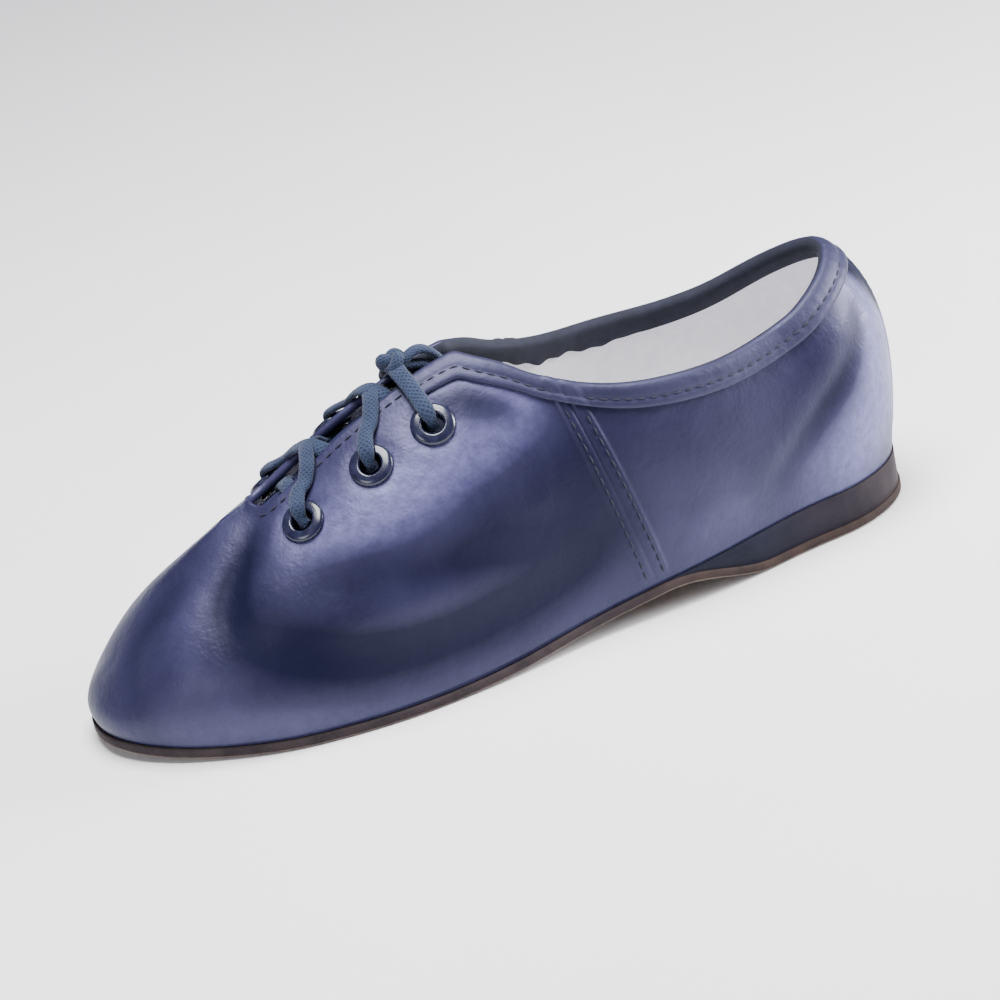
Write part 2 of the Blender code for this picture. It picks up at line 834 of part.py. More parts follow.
def add_knot(material, parent):
    rows, sides = KNOT_ROWS, KNOT_SIDES
    points = [(0.0, 0.0, -KNOT_SIZE[2])]
    for row in range(1, rows):
        polar = math.pi * row / rows
        for step in range(sides):
            angle = 2 * math.pi * step / sides
            points.append((KNOT_SIZE[0] * math.sin(polar) * math.cos(angle),
                           KNOT_SIZE[1] * math.sin(polar) * math.sin(angle),
                           -KNOT_SIZE[2] * math.cos(polar)))
    points.append((0.0, 0.0, KNOT_SIZE[2]))
    faces = [(0, 1 + (step + 1) % sides, 1 + step) for step in range(sides)]
    faces += strip_faces(rows - 1, sides, start=1, closed=True)
    top = len(points) - 1
    faces += [(top, top - sides + step, top - sides + (step + 1) % sides) for step in range(sides)]
    knot = add_object("lace_knot", points, faces, material, parent)
    knot.location = shoe_point(KNOT_STATION, 0.0, KNOT_RISE)


def add_lace_end(name, route, material, parent):
    """A lace end as a round tube on a smooth curve through its route."""
    table = np.array([shoe_point(*row) for row in route])
    keys = np.concatenate([np.arange(len(table))[:, None], table], axis=1)
    reads = np.linspace(0, len(table) - 1, 2 * len(table))
    spots = np.stack([smooth(keys, column, reads) for column in (1, 2, 3)], -1)
    curve = bpy.data.curves.new(name, "CURVE")
    curve.dimensions = "3D"
    curve.bevel_depth = LACE_END_HALF
    curve.bevel_resolution = 2
    curve.use_fill_caps = True
    curve.materials.append(material)
    spline = curve.splines.new("POLY")
    spline.points.add(len(spots) - 1)
    for point, spot in zip(spline.points, spots):
        point.co = (*spot, 1.0)
    end = bpy.data.objects.new(name, curve)
    bpy.context.collection.objects.link(end)
    end.parent = parent


def centre_shoe(root):
    """Moves the whole shoe so that its box, back strip included, is centred over the origin."""
    lows, highs = [], []
    for side in (OUTER, INNER):
        stations, turns = np.meshgrid(np.linspace(0, 1, 201), np.linspace(0, 1.0, 41))
        points = skin(side, stations, turns).reshape(-1, 3)
        lows.append(points.min(axis=0))
        highs.append(points.max(axis=0) + np.array((SEAM_RISE, 0.0, 0.0)))
    middle = (np.min(lows, axis=0) + np.max(highs, axis=0)) / 2
    root.location = (-middle[0], -middle[1], 0.0)


def main():
    for old in list(bpy.data.objects):
        bpy.data.objects.remove(old, do_unlink=True)
    root = bpy.data.objects.new("shoe", None)
    bpy.context.collection.objects.link(root)
    materials = {
        "leather": make_material("leather", (0.055, 0.062, 0.13), 0.38),
        "binding": make_material("binding", (0.040, 0.046, 0.10), 0.45),
        "lining": make_material("lining", (0.78, 0.77, 0.82), 0.85),
        "insole": make_material("insole", (0.82, 0.80, 0.80), 0.90),
        "sole": make_material("sole", (0.20, 0.13, 0.09), 0.80),
        "wedge": make_material("wedge", (0.020, 0.020, 0.035), 0.60),
        "eyelet": make_material("eyelet", (0.030, 0.032, 0.070), 0.30, 0.3),
        "lace": make_material("lace", (0.055, 0.080, 0.13), 0.85),
    }
    upper = build_upper(materials["leather"], root)
    build_binding(materials["binding"], root)
    build_tongue(materials["leather"], root)
    build_soles(materials, root)
    build_eyelets(upper, materials["eyelet"], root)
    build_laces(materials["lace"], root)
    centre_shoe(root)


main()
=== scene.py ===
"""Looks of a child's lace-up jazz shoe: soft glossy leather, stitches, eyelets and cotton laces."""
import math

import bmesh
import bpy
import numpy as np
from mathutils import Matrix, Vector


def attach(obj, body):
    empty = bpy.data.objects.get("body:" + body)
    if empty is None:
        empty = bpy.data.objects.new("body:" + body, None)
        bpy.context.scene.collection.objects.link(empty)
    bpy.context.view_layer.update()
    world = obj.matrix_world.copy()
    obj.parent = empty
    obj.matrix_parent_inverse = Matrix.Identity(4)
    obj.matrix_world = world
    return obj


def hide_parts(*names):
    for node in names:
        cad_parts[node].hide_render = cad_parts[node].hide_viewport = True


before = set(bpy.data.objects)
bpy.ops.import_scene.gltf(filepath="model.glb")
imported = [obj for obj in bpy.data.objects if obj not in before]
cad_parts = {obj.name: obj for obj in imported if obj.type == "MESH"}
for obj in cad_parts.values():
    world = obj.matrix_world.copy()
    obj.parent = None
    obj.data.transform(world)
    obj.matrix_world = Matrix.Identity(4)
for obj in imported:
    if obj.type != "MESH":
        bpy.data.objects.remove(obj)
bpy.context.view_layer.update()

MM = 0.001

# Last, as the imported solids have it
LENGTH = 0.188
BALL_WIDTH = 0.063
INSTEP_HEIGHT = 0.060
BACK_HEIGHT = 0.0595
HEEL_ROUND = 0.023
TOE_ROUND = 0.036
TOE_SPRING = 0.002
TOE_SQUARENESS = 2.3
WALL = 0.0016
SOLE = 0.002
WEDGE = 0.0074
INSOLE = 0.0012
TONGUE = 0.0016
CLEARANCE = 0.0003
SEAM_WIDTH = 0.0062
SEAM_RISE = 0.0005
SEAM_STATION = 0.368
SEAM_LEAN = 0.060
SEAM_SPREAD = 0.13
STRIP_HALF = 0.0052
THROAT_TOP_HALF = 0.0035
THROAT_LOW_HALF = 0.0048
THROAT_END = 0.775
THROAT_ROUND = 0.030
FACING_START = 0.45
CORNER_SOFTNESS = 0.016
TOPLINE_END = 0.62
BINDING_WIDTH = 0.0055
BINDING_END = 0.640
SOLE_EDGE = 0.0006
HEEL_FLAT_END = 0.215
WAIST_START = 0.36
TONGUE_TOP = 0.500
TONGUE_LOW = 0.79
TONGUE_HALF_TOP = 0.017
TONGUE_HALF_LOW = 0.007
TONGUE_SEAM = 0.025
TONGUE_SPREAD = 0.006
TONGUE_DROOP = 0.009
TONGUE_DROOP_SHARE = 0.35
EYELET_STATIONS = (0.609, 0.706, 0.812)
EYELET_INSET = 0.0136
EYELET_HOLE = 0.0024
EYELET_BARREL = 0.0030
EYELET_FLANGE = 0.0048
KNOT_STATION = 0.582
KNOT_RISE = 0.0030
RISE_POWER = 0.95
RIDGE_START = HEEL_ROUND / LENGTH
RIDGE_SPAN = 1 - RIDGE_START - TOE_ROUND / LENGTH
OUTER, INNER = -1, 1
QUARTER = math.pi / 2

PLAN = np.array((
    # station, axis, half
    (0.00, 0.000, 0.300),
    (0.15, 0.000, 0.332),
    (0.30, -0.030, 0.383),
    (0.45, -0.055, 0.378),
    (0.60, -0.045, 0.450),
    (0.70, -0.015, 0.490),
    (0.80, 0.020, 0.480),
    (0.90, 0.055, 0.420),
    (1.00, 0.080, 0.360),
))
SIDE = np.array((
    # station, heel rise, toe spring, ridge
    (0.00, 1.000, 0.00, 1.090),
    (0.15, 0.965, 0.00, 1.020),
    (0.30, 0.770, 0.00, 1.185),
    (0.45, 0.365, 0.00, 1.128),
    (0.55, 0.105, 0.00, 1.075),
    (0.65, 0.000, 0.00, 0.950),
    (0.75, 0.000, 0.00, 0.772),
    (0.85, 0.000, 0.12, 0.640),
    (0.93, 0.000, 0.42, 0.530),
    (1.00, 0.000, 1.00, 0.330),
))
FULLNESS = np.array((
    # station, lean, bulge
    (0.00, 0.60, 0.48),
    (0.20, 0.74, 0.40),
    (0.45, 1.30, 0.25),
    (0.70, 1.38, 0.24),
    (1.00, 1.38, 0.24),
))
TOPLINE = np.array((
    # station, height
    (0.00, 1.000),
    (0.06, 0.930),
    (0.12, 0.870),
    (0.20, 0.835),
    (0.29, 0.845),
    (0.37, 0.880),
    (0.45, 0.962),
    (0.50, 1.030),
    (0.55, 1.074),
    (0.62, 1.130),
))
LACE_ENDS = {
    "lace_end_outer": (
        (0.5585, 0.0, -0.0004),
        (0.549, 0.0, -0.0014),
        (0.54, 0.0, -0.0032),
        (0.531, -0.0001, -0.0056),
        (0.522, -0.0003, -0.0078),
        (0.512, -0.0008, -0.0096),
        (0.503, -0.0012, -0.0106),
        (0.496, -0.0015, -0.0125),
        (0.492, -0.0016, -0.0165),
        (0.4905, -0.0016, -0.0215),
        (0.49, -0.0016, -0.026),
    ),
    "lace_end_inner": (
        (0.5585, 0.0, 0.0022),
        (0.548, 0.0, 0.0018),
        (0.538, 0.0, 0.0002),
        (0.529, 0.0001, -0.0022),
        (0.52, 0.0003, -0.0048),
        (0.51, 0.0008, -0.0068),
        (0.5, 0.0012, -0.0078),
        (0.491, 0.0015, -0.0096),
        (0.4845, 0.0016, -0.0135),
        (0.482, 0.0016, -0.0185),
        (0.4815, 0.0016, -0.0235),
    ),
}

# Mesh density, and where the columns are closest
RING_STEPS = 200
SEAM_COLUMNS = 26
SEAM_REACH = 0.028
WALL_ROWS = 84
BINDING_COLUMNS = 220

# Sizes of what the dressed shoe adds
STITCH_PITCH = 2.7 * MM
SEAM_ROW = 2.1 * MM
STRIP_ROW = STRIP_HALF - 1.2 * MM
STRIP_REACH = 0.3 * BALL_WIDTH
FACING_FOLD = 0.35 * MM
TURNED_MARGIN = 3.0 * MM
RAGGED_HEM = 2.6 * MM
HOLE_CUT = EYELET_BARREL + 0.7 * MM
LACE_HALF = 1.85 * MM

# Steps of about a millimetre from an eyelet over the skin to the ridge
STEPS_TO_RIDGE = 17

# Where the lining under the facings takes the dark leather as painted shade: stations, and rows above this
# one
SHADE_UNDER_FACINGS = (0.55, 0.94)
SHADE_ROW = 46

# Crease depth that takes the leather from flat to its darkest painted shade, and a ridge's share of that
# for its painted highlight
FOLD_SPAN = 2.4 * MM
RIDGE_HIGHLIGHT = 0.3

# Where sole edge and wedge change to their heel tones, from the middle of the shoe
HEEL_TONE = (0.020, 0.034)
WEDGE_TONE = (0.050, 0.092)

# Camera, as the photo was taken
VIEW_AZIMUTH = -17.0
VIEW_ELEVATION = 23.96
VIEW_ROLL = -12.0
VIEW_DISTANCE = 0.750
VIEW_PIXELS = 3463.0
VIEW_TARGET = (0.00227, 0.0, 0.02566)
PICTURE = 1000.0
SENSOR = 36.0


def smooth(table, column, place):
    """Reads a table's column as one smooth curve through its rows."""
    xs = table[:, 0]
    ys = table[:, column]
    slope = np.gradient(ys, xs)
    row = np.clip(np.searchsorted(xs, place) - 1, 0, len(xs) - 2)
    span = xs[row + 1] - xs[row]
    t = np.clip((place - xs[row]) / span, 0.0, 1.0)
    start = (2 * t**3 - 3 * t**2 + 1) * ys[row] + (t**3 - 2 * t**2 + t) * span * slope[row]
    end = (3 * t**2 - 2 * t**3) * ys[row + 1] + (t**3 - t**2) * span * slope[row + 1]
    return start + end


def unit(vectors):
    """Vectors brought to a length of 1."""
    return vectors / np.linalg.norm(vectors, axis=-1, keepdims=True)


def run_of(path):
    """Distance travelled along a path, from 0 at its first point."""
    return np.concatenate(([0.0], np.cumsum(np.linalg.norm(np.diff(path, axis=0), axis=1))))


def ease(low, high, value):
    """Climbs softly from 0 at low to 1 at high."""
    t = np.clip((value - low) / (high - low), 0.0, 1.0)
    return t * t * (3 - 2 * t)


def rounding(station):
    """Closes the outline at heel and toe."""
    length = station * LENGTH
    heel = np.clip((HEEL_ROUND - length) / HEEL_ROUND, 0.0, 1.0)
    toe = np.clip((length - (LENGTH - TOE_ROUND)) / TOE_ROUND, 0.0, 1.0)
    return np.sqrt(1 - heel**2) * np.clip(1 - toe**TOE_SQUARENESS, 0.0, 1.0) ** (1 / TOE_SQUARENESS)


def axis_at(station):
    return BALL_WIDTH * smooth(PLAN, 1, station)


def half_at(station):
    return BALL_WIDTH * smooth(PLAN, 2, station) * rounding(station)


def feather_at(station):
    """Height of the upper's lower edge, over sole and wedge."""
    ground = SOLE + CLEARANCE
    heel = (WEDGE + CLEARANCE) * np.maximum(smooth(SIDE, 1, station), 0.0)
    return ground + heel + TOE_SPRING * np.maximum(smooth(SIDE, 2, station), 0.0)


def ridge_at(station):
    return INSTEP_HEIGHT * smooth(SIDE, 3, station)


def ridge_station(station):
    """The station on the ridge that a column of the wall climbs to."""
    return RIDGE_START + station * RIDGE_SPAN


def column_station(along):
    """The column that climbs to a station of the ridge."""
    return (along - RIDGE_START) / RIDGE_SPAN


def skin(side, station, turn):
    """Outer skin of the last, before the shoe is centred over the origin."""
    station, turn = np.broadcast_arrays(station, turn)
    foot = np.stack((station, axis_at(station) + side * half_at(station)), -1)
    top = ridge_station(station)
    crown = np.stack((top, axis_at(top)), -1)
    cosine = np.clip(np.cos(turn), 0.0, 1.0)
    sine = np.sin(turn)
    reach = cosine ** smooth(FULLNESS, 1, station) + smooth(FULLNESS, 2, station) * sine * cosine**2
    plan = crown + (foot - crown) * reach[..., None]
    along = np.clip(plan[..., 0], 0.0, 1.0)
    low = feather_at(along)
    height = low + (ridge_at(along) - low) * sine**RISE_POWER
    return np.stack((LENGTH / 2 - plan[..., 0] * LENGTH, plan[..., 1], height), -1)


def outward(side, station, turn):
    """Unit normal of the skin, pointing out of the shoe."""
    step = 1e-4
    turn = np.clip(turn, 2 * step, QUARTER - 2 * step)
    ahead = skin(side, np.clip(station + step, 0.0, 1.0), turn)
    behind = skin(side, np.clip(station - step, 0.0, 1.0), turn)
    up = skin(side, station, turn + step) - skin(side, station, turn - step)
    return unit(np.cross(ahead - behind, up) * side)


def middle_of_shoe():
    """Middle of the shoe's box before it is centred, back strip included."""
    stations, turns = np.meshgrid(np.linspace(0, 1, 201), np.linspace(0, 1.0, 41))
    both = np.concatenate([skin(side, stations, turns).reshape(-1, 3) for side in (OUTER, INNER)])
    high = both.max(axis=0) + np.array((SEAM_RISE, 0.0, 0.0))
    return np.array((1.0, 1.0, 0.0)) * (both.min(axis=0) + high) / 2


MIDDLE = middle_of_shoe()
FINE = np.linspace(0.0, 1.0, 801)


def solve_turns(above, low):
    """Finds by halving the turns where a rising measure passes zero."""
    low = np.full(FINE.shape, low)
    high = np.full(FINE.shape, QUARTER)
    for _ in range(30):
        middle = (low + high) / 2
        over = above(middle) > 0
        high = np.where(over, middle, high)
        low = np.where(over, low, middle)
    return (low + high) / 2


def throat_half(along):
    """Half the gap between the facings, at a station of the ridge."""
    start = ridge_station(TOPLINE_END)
    fall = np.clip((along - start) / (THROAT_END - start), 0.0, 1.0)
    half = THROAT_TOP_HALF + (THROAT_LOW_HALF - THROAT_TOP_HALF) * fall
    end = np.clip((along - (THROAT_END - THROAT_ROUND)) / THROAT_ROUND, 0.0, 1.0)
    return half * np.sqrt(1 - end**2)


def edge_turns(side):
    """The turn where each column of the wall ends, with a rounded corner on the facing."""
    def over_facing(turn):
        point = skin(side, FINE, turn)
        along = 0.5 - point[..., 0] / LENGTH
        return throat_half(along) - abs(point[..., 1] - axis_at(along))

    def over_topline(turn):
        return skin(side, FINE, turn)[..., 2] - BACK_HEIGHT * smooth(TOPLINE, 1, FINE)

    has_facing = (ridge_station(FINE) < THROAT_END) & (FINE > FACING_START)
    facing = np.where(has_facing, solve_turns(over_facing, 0.6), QUARTER)
    topline = np.where(FINE < TOPLINE_END, solve_turns(over_topline, 0.05), QUARTER)
    soft = CORNER_SOFTNESS
    rounded = -soft * np.log(np.exp(-facing / soft) + np.exp(-topline / soft))
    corner = has_facing & (FINE <= TOPLINE_END)
    return np.where(corner, rounded, np.minimum(facing, topline))


EDGES = {side: edge_turns(side) for side in (OUTER, INNER)}


def seam_shift(station):
    """How strongly a column leans forward as it climbs, greatest at the side seam."""
    return SEAM_LEAN * np.exp(-((station - SEAM_STATION) / SEAM_SPREAD) ** 2)


def wall(side, station, share, out=0.0):
    """A point of the shoe's wall: share climbs from the lower edge (0) to the opening (1)."""
    station, share, out = np.broadcast_arrays(station, share, out)
    place = np.clip(station + seam_shift(station) * share, 0.0, 1.0)
    turn = np.interp(place, FINE, EDGES[side]) * share
    return skin(side, place, turn) + outward(side, place, turn) * out[..., None] - MIDDLE


def wall_normal(side, station, share):
    place = np.clip(station + seam_shift(station) * share, 0.0, 1.0)
    return outward(side, place, np.interp(place, FINE, EDGES[side]) * share)


def wall_height(side, station):
    """Length of one whole share near the opening, for distances measured down from it."""
    return np.linalg.norm(wall(side, station, 0.98) - wall(side, station, 1.0), axis=-1) / 0.02


def shoe_point(along, offset, rise):
    """A point over the last, its offset and rise taken from the ridge line."""
    return np.array((LENGTH / 2 - along * LENGTH, axis_at(along) + offset, ridge_at(along) + rise)) - MIDDLE


# Soft creases of the leather: each runs through wall places and is a trough (-) or ridge (+)
CREASES = (
    # side, half width mm, depth mm, places of station and share
    (OUTER, 7.5, -1.6, ((0.907, 0.74), (0.869, 0.5), (0.788, 0.31), (0.688, 0.18), (0.563, 0.14),
                        (0.45, 0.19), (0.37, 0.33))),
    (OUTER, 5.5, -0.7, ((0.802, 0.54), (0.743, 0.49), (0.612, 0.34), (0.483, 0.31), (0.387, 0.48))),
    (OUTER, 4.5, 0.35, ((0.775, 0.41), (0.68, 0.28), (0.582, 0.23), (0.47, 0.25))),
    (OUTER, 3.6, -0.9, ((0.903, 0.98), (0.902, 0.82), (0.902, 0.66), (0.885, 0.52))),
    (OUTER, 5.0, 0.5, ((0.945, 0.88), (0.952, 0.6), (0.915, 0.34))),
    (OUTER, 4.0, -0.5, ((0.967, 0.74), (0.983, 0.62), (0.99, 0.47), (0.967, 0.2))),
    (OUTER, 3.4, -0.9, ((0.032, 0.72), (0.055, 0.61), (0.09, 0.52), (0.13, 0.43), (0.193, 0.23))),
    (OUTER, 4.5, 0.45, ((0.065, 0.76), (0.11, 0.66), (0.16, 0.5), (0.215, 0.33))),
    (INNER, 6.5, -1.0, ((0.9, 0.5), (0.8, 0.36), (0.7, 0.26), (0.58, 0.22))),
    (INNER, 5.0, 0.55, ((0.86, 0.6), (0.76, 0.46), (0.66, 0.38), (0.56, 0.34))),
    (INNER, 4.0, -0.5, ((0.92, 0.82), (0.91, 0.66), (0.89, 0.52))),
    (INNER, 4.0, -0.5, ((0.04, 0.62), (0.08, 0.54), (0.13, 0.42), (0.19, 0.26))),
)

# Painted highlights (+) and painted shade (-) laid onto the leather through its fold marks
PAINTED_PATCHES = (
    # side, half width mm, strength, places of station and share
    (OUTER, 8.5, 0.9, ((0.8, 0.72), (0.73, 0.65), (0.663, 0.61), (0.558, 0.6), (0.47, 0.7))),
    (OUTER, 3.2, 0.9, ((0.6, 0.88), (0.56, 0.885), (0.5, 0.88), (0.445, 0.86))),
    (OUTER, 3.5, -0.9, ((0.585, 0.79), (0.54, 0.79), (0.49, 0.8))),
    (OUTER, 6.0, 0.22, ((0.925, 0.05), (0.812, 0.06), (0.698, 0.05), (0.575, 0.04), (0.452, 0.05))),
    (OUTER, 10.0, 1.25, ((0.01, 0.72), (0.022, 0.5), (0.048, 0.27), (0.1, 0.14))),
    (OUTER, 5.5, -0.45, ((0.06, 0.76), (0.085, 0.66), (0.12, 0.57), (0.165, 0.46), (0.22, 0.32))),
    (OUTER, 11.0, -0.7, ((0.56, 0.36), (0.46, 0.52), (0.38, 0.64))),
    (OUTER, 8.0, -0.35, ((0.33, 0.55), (0.26, 0.6), (0.19, 0.62))),
    (OUTER, 5.0, 0.15, ((0.3, 0.1), (0.24, 0.22), (0.19, 0.4))),
    (OUTER, 4.0, -2.4, ((0.0, 1.0), (0.0, 0.75), (0.0, 0.5), (0.0, 0.2))),
    (OUTER, 3.2, -2.4, ((0.007, 1.0), (0.007, 0.88), (0.006, 0.74), (0.005, 0.6))),
    (INNER, 4.0, -2.4, ((0.0, 1.0), (0.0, 0.75), (0.0, 0.5), (0.0, 0.2))),
    (INNER, 9.0, 0.9, ((0.8, 0.74), (0.73, 0.66), (0.663, 0.63), (0.558, 0.62), (0.47, 0.72))),
    (INNER, 6.0, 0.4, ((0.925, 0.05), (0.812, 0.06), (0.698, 0.05), (0.575, 0.04))),
    (INNER, 11.0, 0.7, ((0.01, 0.7), (0.022, 0.5), (0.048, 0.27), (0.1, 0.14))),
)


def soft_lines(rows, side, points, end_fade):
    """Adds up soft bands that run through wall places of one side, each fading at its ends."""
    flat = points.reshape(-1, 3)
    total = np.zeros(len(flat))
    for row_side, width, amount, places in rows:
        if row_side != side:
            continue
        keys = np.array([(i, *place) for i, place in enumerate(places)])
        reads = np.linspace(0, len(places) - 1, 40)
        line = wall(side, smooth(keys, 1, reads), smooth(keys, 2, reads))
        fade = np.sin(np.linspace(end_fade, math.pi - end_fade, 40)) ** 0.6
        near = np.zeros(len(flat))
        for spot, strength in zip(line, fade):
            gap = ((flat - spot) ** 2).sum(axis=1)
            near = np.maximum(near, strength * np.exp(-gap / (width * MM) ** 2))
        total += near * amount
    return total.reshape(points.shape[:-1])


def crease_lift(side, points):
    """Height that the creases add at points of one side of the wall."""
    return soft_lines(CREASES, side, points, 0.12) * MM


def seam_lift(station):
    """Doubled leather of the side seam, with its groove and the dents of two stitch rows."""
    off = (station - SEAM_STATION) * LENGTH
    band = SEAM_RISE * (1 - ease(SEAM_WIDTH / 2 - 0.4 * MM, SEAM_WIDTH / 2 + 0.6 * MM, abs(off)))
    groove = -0.45 * MM * np.exp(-(off / (0.45 * MM)) ** 2)
    rows = -0.14 * MM * np.exp(-((abs(off) - SEAM_ROW) / (0.5 * MM)) ** 2)
    return band + groove + rows


def strip_lift(station):
    """Doubled leather of the back strip."""
    reach = STRIP_REACH * np.sqrt(1 - np.clip(1 - station * LENGTH / HEEL_ROUND, 0.0, 1.0) ** 2)
    edge = 1 - ease(STRIP_HALF - 0.2 * MM, STRIP_HALF + 0.5 * MM, reach)
    row = -0.12 * MM * np.exp(-((reach - STRIP_ROW) / (0.4 * MM)) ** 2)
    return SEAM_RISE * edge + row


def ring_stations():
    """Stations from heel to toe, closer at both ends and over the side seam."""
    even = (1 - np.cos(np.pi * np.arange(RING_STEPS + 1) / RING_STEPS)) / 2
    seam = SEAM_STATION + np.linspace(-1, 1, SEAM_COLUMNS) * SEAM_REACH
    away = abs(even - SEAM_STATION) > SEAM_REACH + 0.003
    return np.sort(np.concatenate((even[away], seam)))


def link(name, data):
    piece = bpy.data.objects.new(name, data)
    bpy.context.collection.objects.link(piece)
    return piece


def new_mesh(name, points, faces, materials, slots=None, weld=0.0, folds=None):
    """A smooth-shaded object from points and faces, welded where asked, its fold marks for painted shade
    and painted highlights stored from 0 to 1.
    """
    mesh = bpy.data.meshes.new(name)
    mesh.from_pydata(np.asarray(points).tolist(), [], faces)
    for material in materials:
        mesh.materials.append(material)
    if slots is not None:
        mesh.polygons.foreach_set("material_index", slots)
    if folds is not None:
        mesh.attributes.new("fold", "FLOAT", "POINT").data.foreach_set("value", folds.astype(np.float32))
    if weld:
        work = bmesh.new()
        work.from_mesh(mesh)
        bmesh.ops.remove_doubles(work, verts=work.verts, dist=weld)
        loose = [vert for vert in work.verts if not vert.link_faces]
        bmesh.ops.delete(work, geom=loose, context="VERTS")
        work.to_mesh(mesh)
        work.free()
    mesh.validate()
    mesh.shade_smooth()
    return link(name, mesh)


def show(piece, slot, *nodes):
    """Rides a piece on the shoe and lets it stand for CAD nodes; its slot is not used."""
    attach(piece, "root")
    if nodes:
        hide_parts(*nodes)
    return piece


class Nodes:
    """A material's node tree, with short calls to add and join its nodes."""

    def __init__(self, name, roughness):
        self.material = bpy.data.materials.new(name)
        self.material.use_nodes = True
        self.tree = self.material.node_tree
        self.shader = self.tree.nodes["Principled BSDF"]
        self.shader.inputs["Roughness"].default_value = roughness
        self.place = self.tree.nodes.new("ShaderNodeTexCoord").outputs["Object"]

    def put(self, socket, value):
        """Joins a socket to another one, or sets its value."""
        if isinstance(value, bpy.types.NodeSocket):
            self.tree.links.new(value, socket)
        else:
            socket.default_value = value

    def add(self, kind, inputs, **settings):
        node = self.tree.nodes.new(kind)
        for name, value in settings.items():
            setattr(node, name, value)
        for name, value in inputs.items():
            self.put(node.inputs[name], value)
        return node

    def noise(self, size_mm, detail=2.0, roughness=0.5, distortion=0.0):
        """Noise whose features are about size_mm across."""
        return self.add("ShaderNodeTexNoise", {
            "Vector": self.place, "Scale": 1 / (size_mm * MM), "Detail": detail,
            "Roughness": roughness, "Distortion": distortion}).outputs["Fac"]

    def waves(self, place, scale, direction, detail):
        """Slightly uneven stripes across one direction."""
        return self.add("ShaderNodeTexWave", {
            "Vector": place, "Scale": scale, "Distortion": 1.0, "Detail": detail},
            bands_direction=direction).outputs["Fac"]

    def ramp(self, factor, *stops):
        """Colours or grey levels spread over a factor: stops of place and colour."""
        node = self.add("ShaderNodeValToRGB", {"Fac": factor})
        elements = node.color_ramp.elements
        while len(elements) < len(stops):
            elements.new(1.0)
        for element, (place, colour) in zip(elements, stops):
            element.position = place
            element.color = (*colour, 1.0) if isinstance(colour, tuple) else (colour, colour, colour, 1.0)
        return node.outputs["Color"]

    def mix(self, factor, first, second):
        node = self.add("ShaderNodeMix", {}, data_type="RGBA")
        for socket, value in ((0, factor), (6, first), (7, second)):
            self.put(node.inputs[socket], (*value, 1.0) if isinstance(value, tuple) else value)
        return node.outputs[2]

    def maths(self, operation, first, second):
        return self.add("ShaderNodeMath", {0: first, 1: second}, operation=operation).outputs[0]

    def bump(self, height, depth_mm, strength=1.0, under=None):
        inputs = {"Height": height, "Distance": depth_mm * MM, "Strength": strength}
        if under is not None:
            inputs["Normal"] = under
        return self.add("ShaderNodeBump", inputs).outputs["Normal"]

    def wire(self, **sockets):
        for name, value in sockets.items():
            self.put(self.shader.inputs[name.replace("_", " ")], value)
        return self.material


def leather(name, dark, light, roughness, grain_mm=0.8, grain_depth=0.05, painted_light=False):
    """Soft dyed leather: a fine pebbled grain, faint stretch wrinkles and cloudy colour, and on request
    painted shade in creases and painted highlights read from the fold marks.
    """
    nodes = Nodes(name, roughness)
    clouds = nodes.noise(16.0, detail=4.0)
    fine = nodes.noise(1.4, detail=3.0)
    base = nodes.ramp(clouds, (0.32, dark), (0.68, light))
    rubbed = nodes.mix(nodes.ramp(fine, (0.40, 0.0), (0.8, 0.35)), base, light)
    gloss = nodes.ramp(nodes.noise(9.0, detail=3.0), (0.3, roughness - 0.05), (0.7, roughness + 0.08))
    colour, shine = rubbed, 0.5
    if painted_light:
        fold = nodes.add("ShaderNodeAttribute", {}, attribute_name="fold").outputs["Fac"]
        # Painted shade: darker towards the bottom of each crease trough, from the fold marks
        colour = nodes.mix(nodes.ramp(fold, (0.10, 0.9), (0.5, 0.0)), rubbed, (0.004, 0.005, 0.017))
        # Painted highlight: paler lavender on ridges and painted patches, broken up by noise; the specular
        # level follows the same marks
        crackle = nodes.ramp(nodes.noise(2.2, detail=5.0, roughness=0.65), (0.30, 0.45), (0.62, 1.0))
        highlight_patches = nodes.maths("MULTIPLY", nodes.ramp(fold, (0.5, 0.0), (1.0, 0.9)), crackle)
        colour = nodes.mix(highlight_patches, colour, (0.125, 0.122, 0.265))
        shine = nodes.ramp(fold, (0.10, 0.10), (0.5, 0.38), (1.0, 0.9))
    pebble = nodes.add("ShaderNodeTexVoronoi", {
        "Vector": nodes.place, "Scale": 1 / (grain_mm * MM)}).outputs["Distance"]
    wrinkle = nodes.noise(3.2, detail=3.0, roughness=0.6, distortion=0.6)
    broad = nodes.bump(nodes.noise(8.0, detail=3.0, distortion=0.8), 0.5, 0.5)
    soft = nodes.bump(wrinkle, 0.28, 0.5, under=broad)
    grain = nodes.bump(pebble, grain_depth, 0.5, under=soft)
    return nodes.wire(Base_Color=colour, Roughness=gloss, Normal=grain,
                      Specular_IOR_Level=shine, Specular_Tint=(0.63, 0.62, 1.0, 1.0),
                      Coat_Weight=0.12, Coat_Roughness=0.38, Coat_Tint=(0.72, 0.74, 1.0, 1.0))


def cloth(name, dark, light, roughness, thread_mm, depth_mm, sheen=0.25):
    """Woven cotton: crossing threads and a little fuzz."""
    nodes = Nodes(name, roughness)
    threads = [nodes.waves(nodes.place, 0.31 / (thread_mm * MM), direction, 1.0) for direction in "XY"]
    weave = nodes.maths("MULTIPLY", *threads)
    tone = nodes.ramp(nodes.noise(2.5, detail=4.0), (0.3, dark), (0.7, light))
    bump = nodes.bump(weave, depth_mm, 0.6)
    return nodes.wire(Base_Color=tone, Normal=bump, Sheen_Weight=sheen, Sheen_Roughness=0.5)


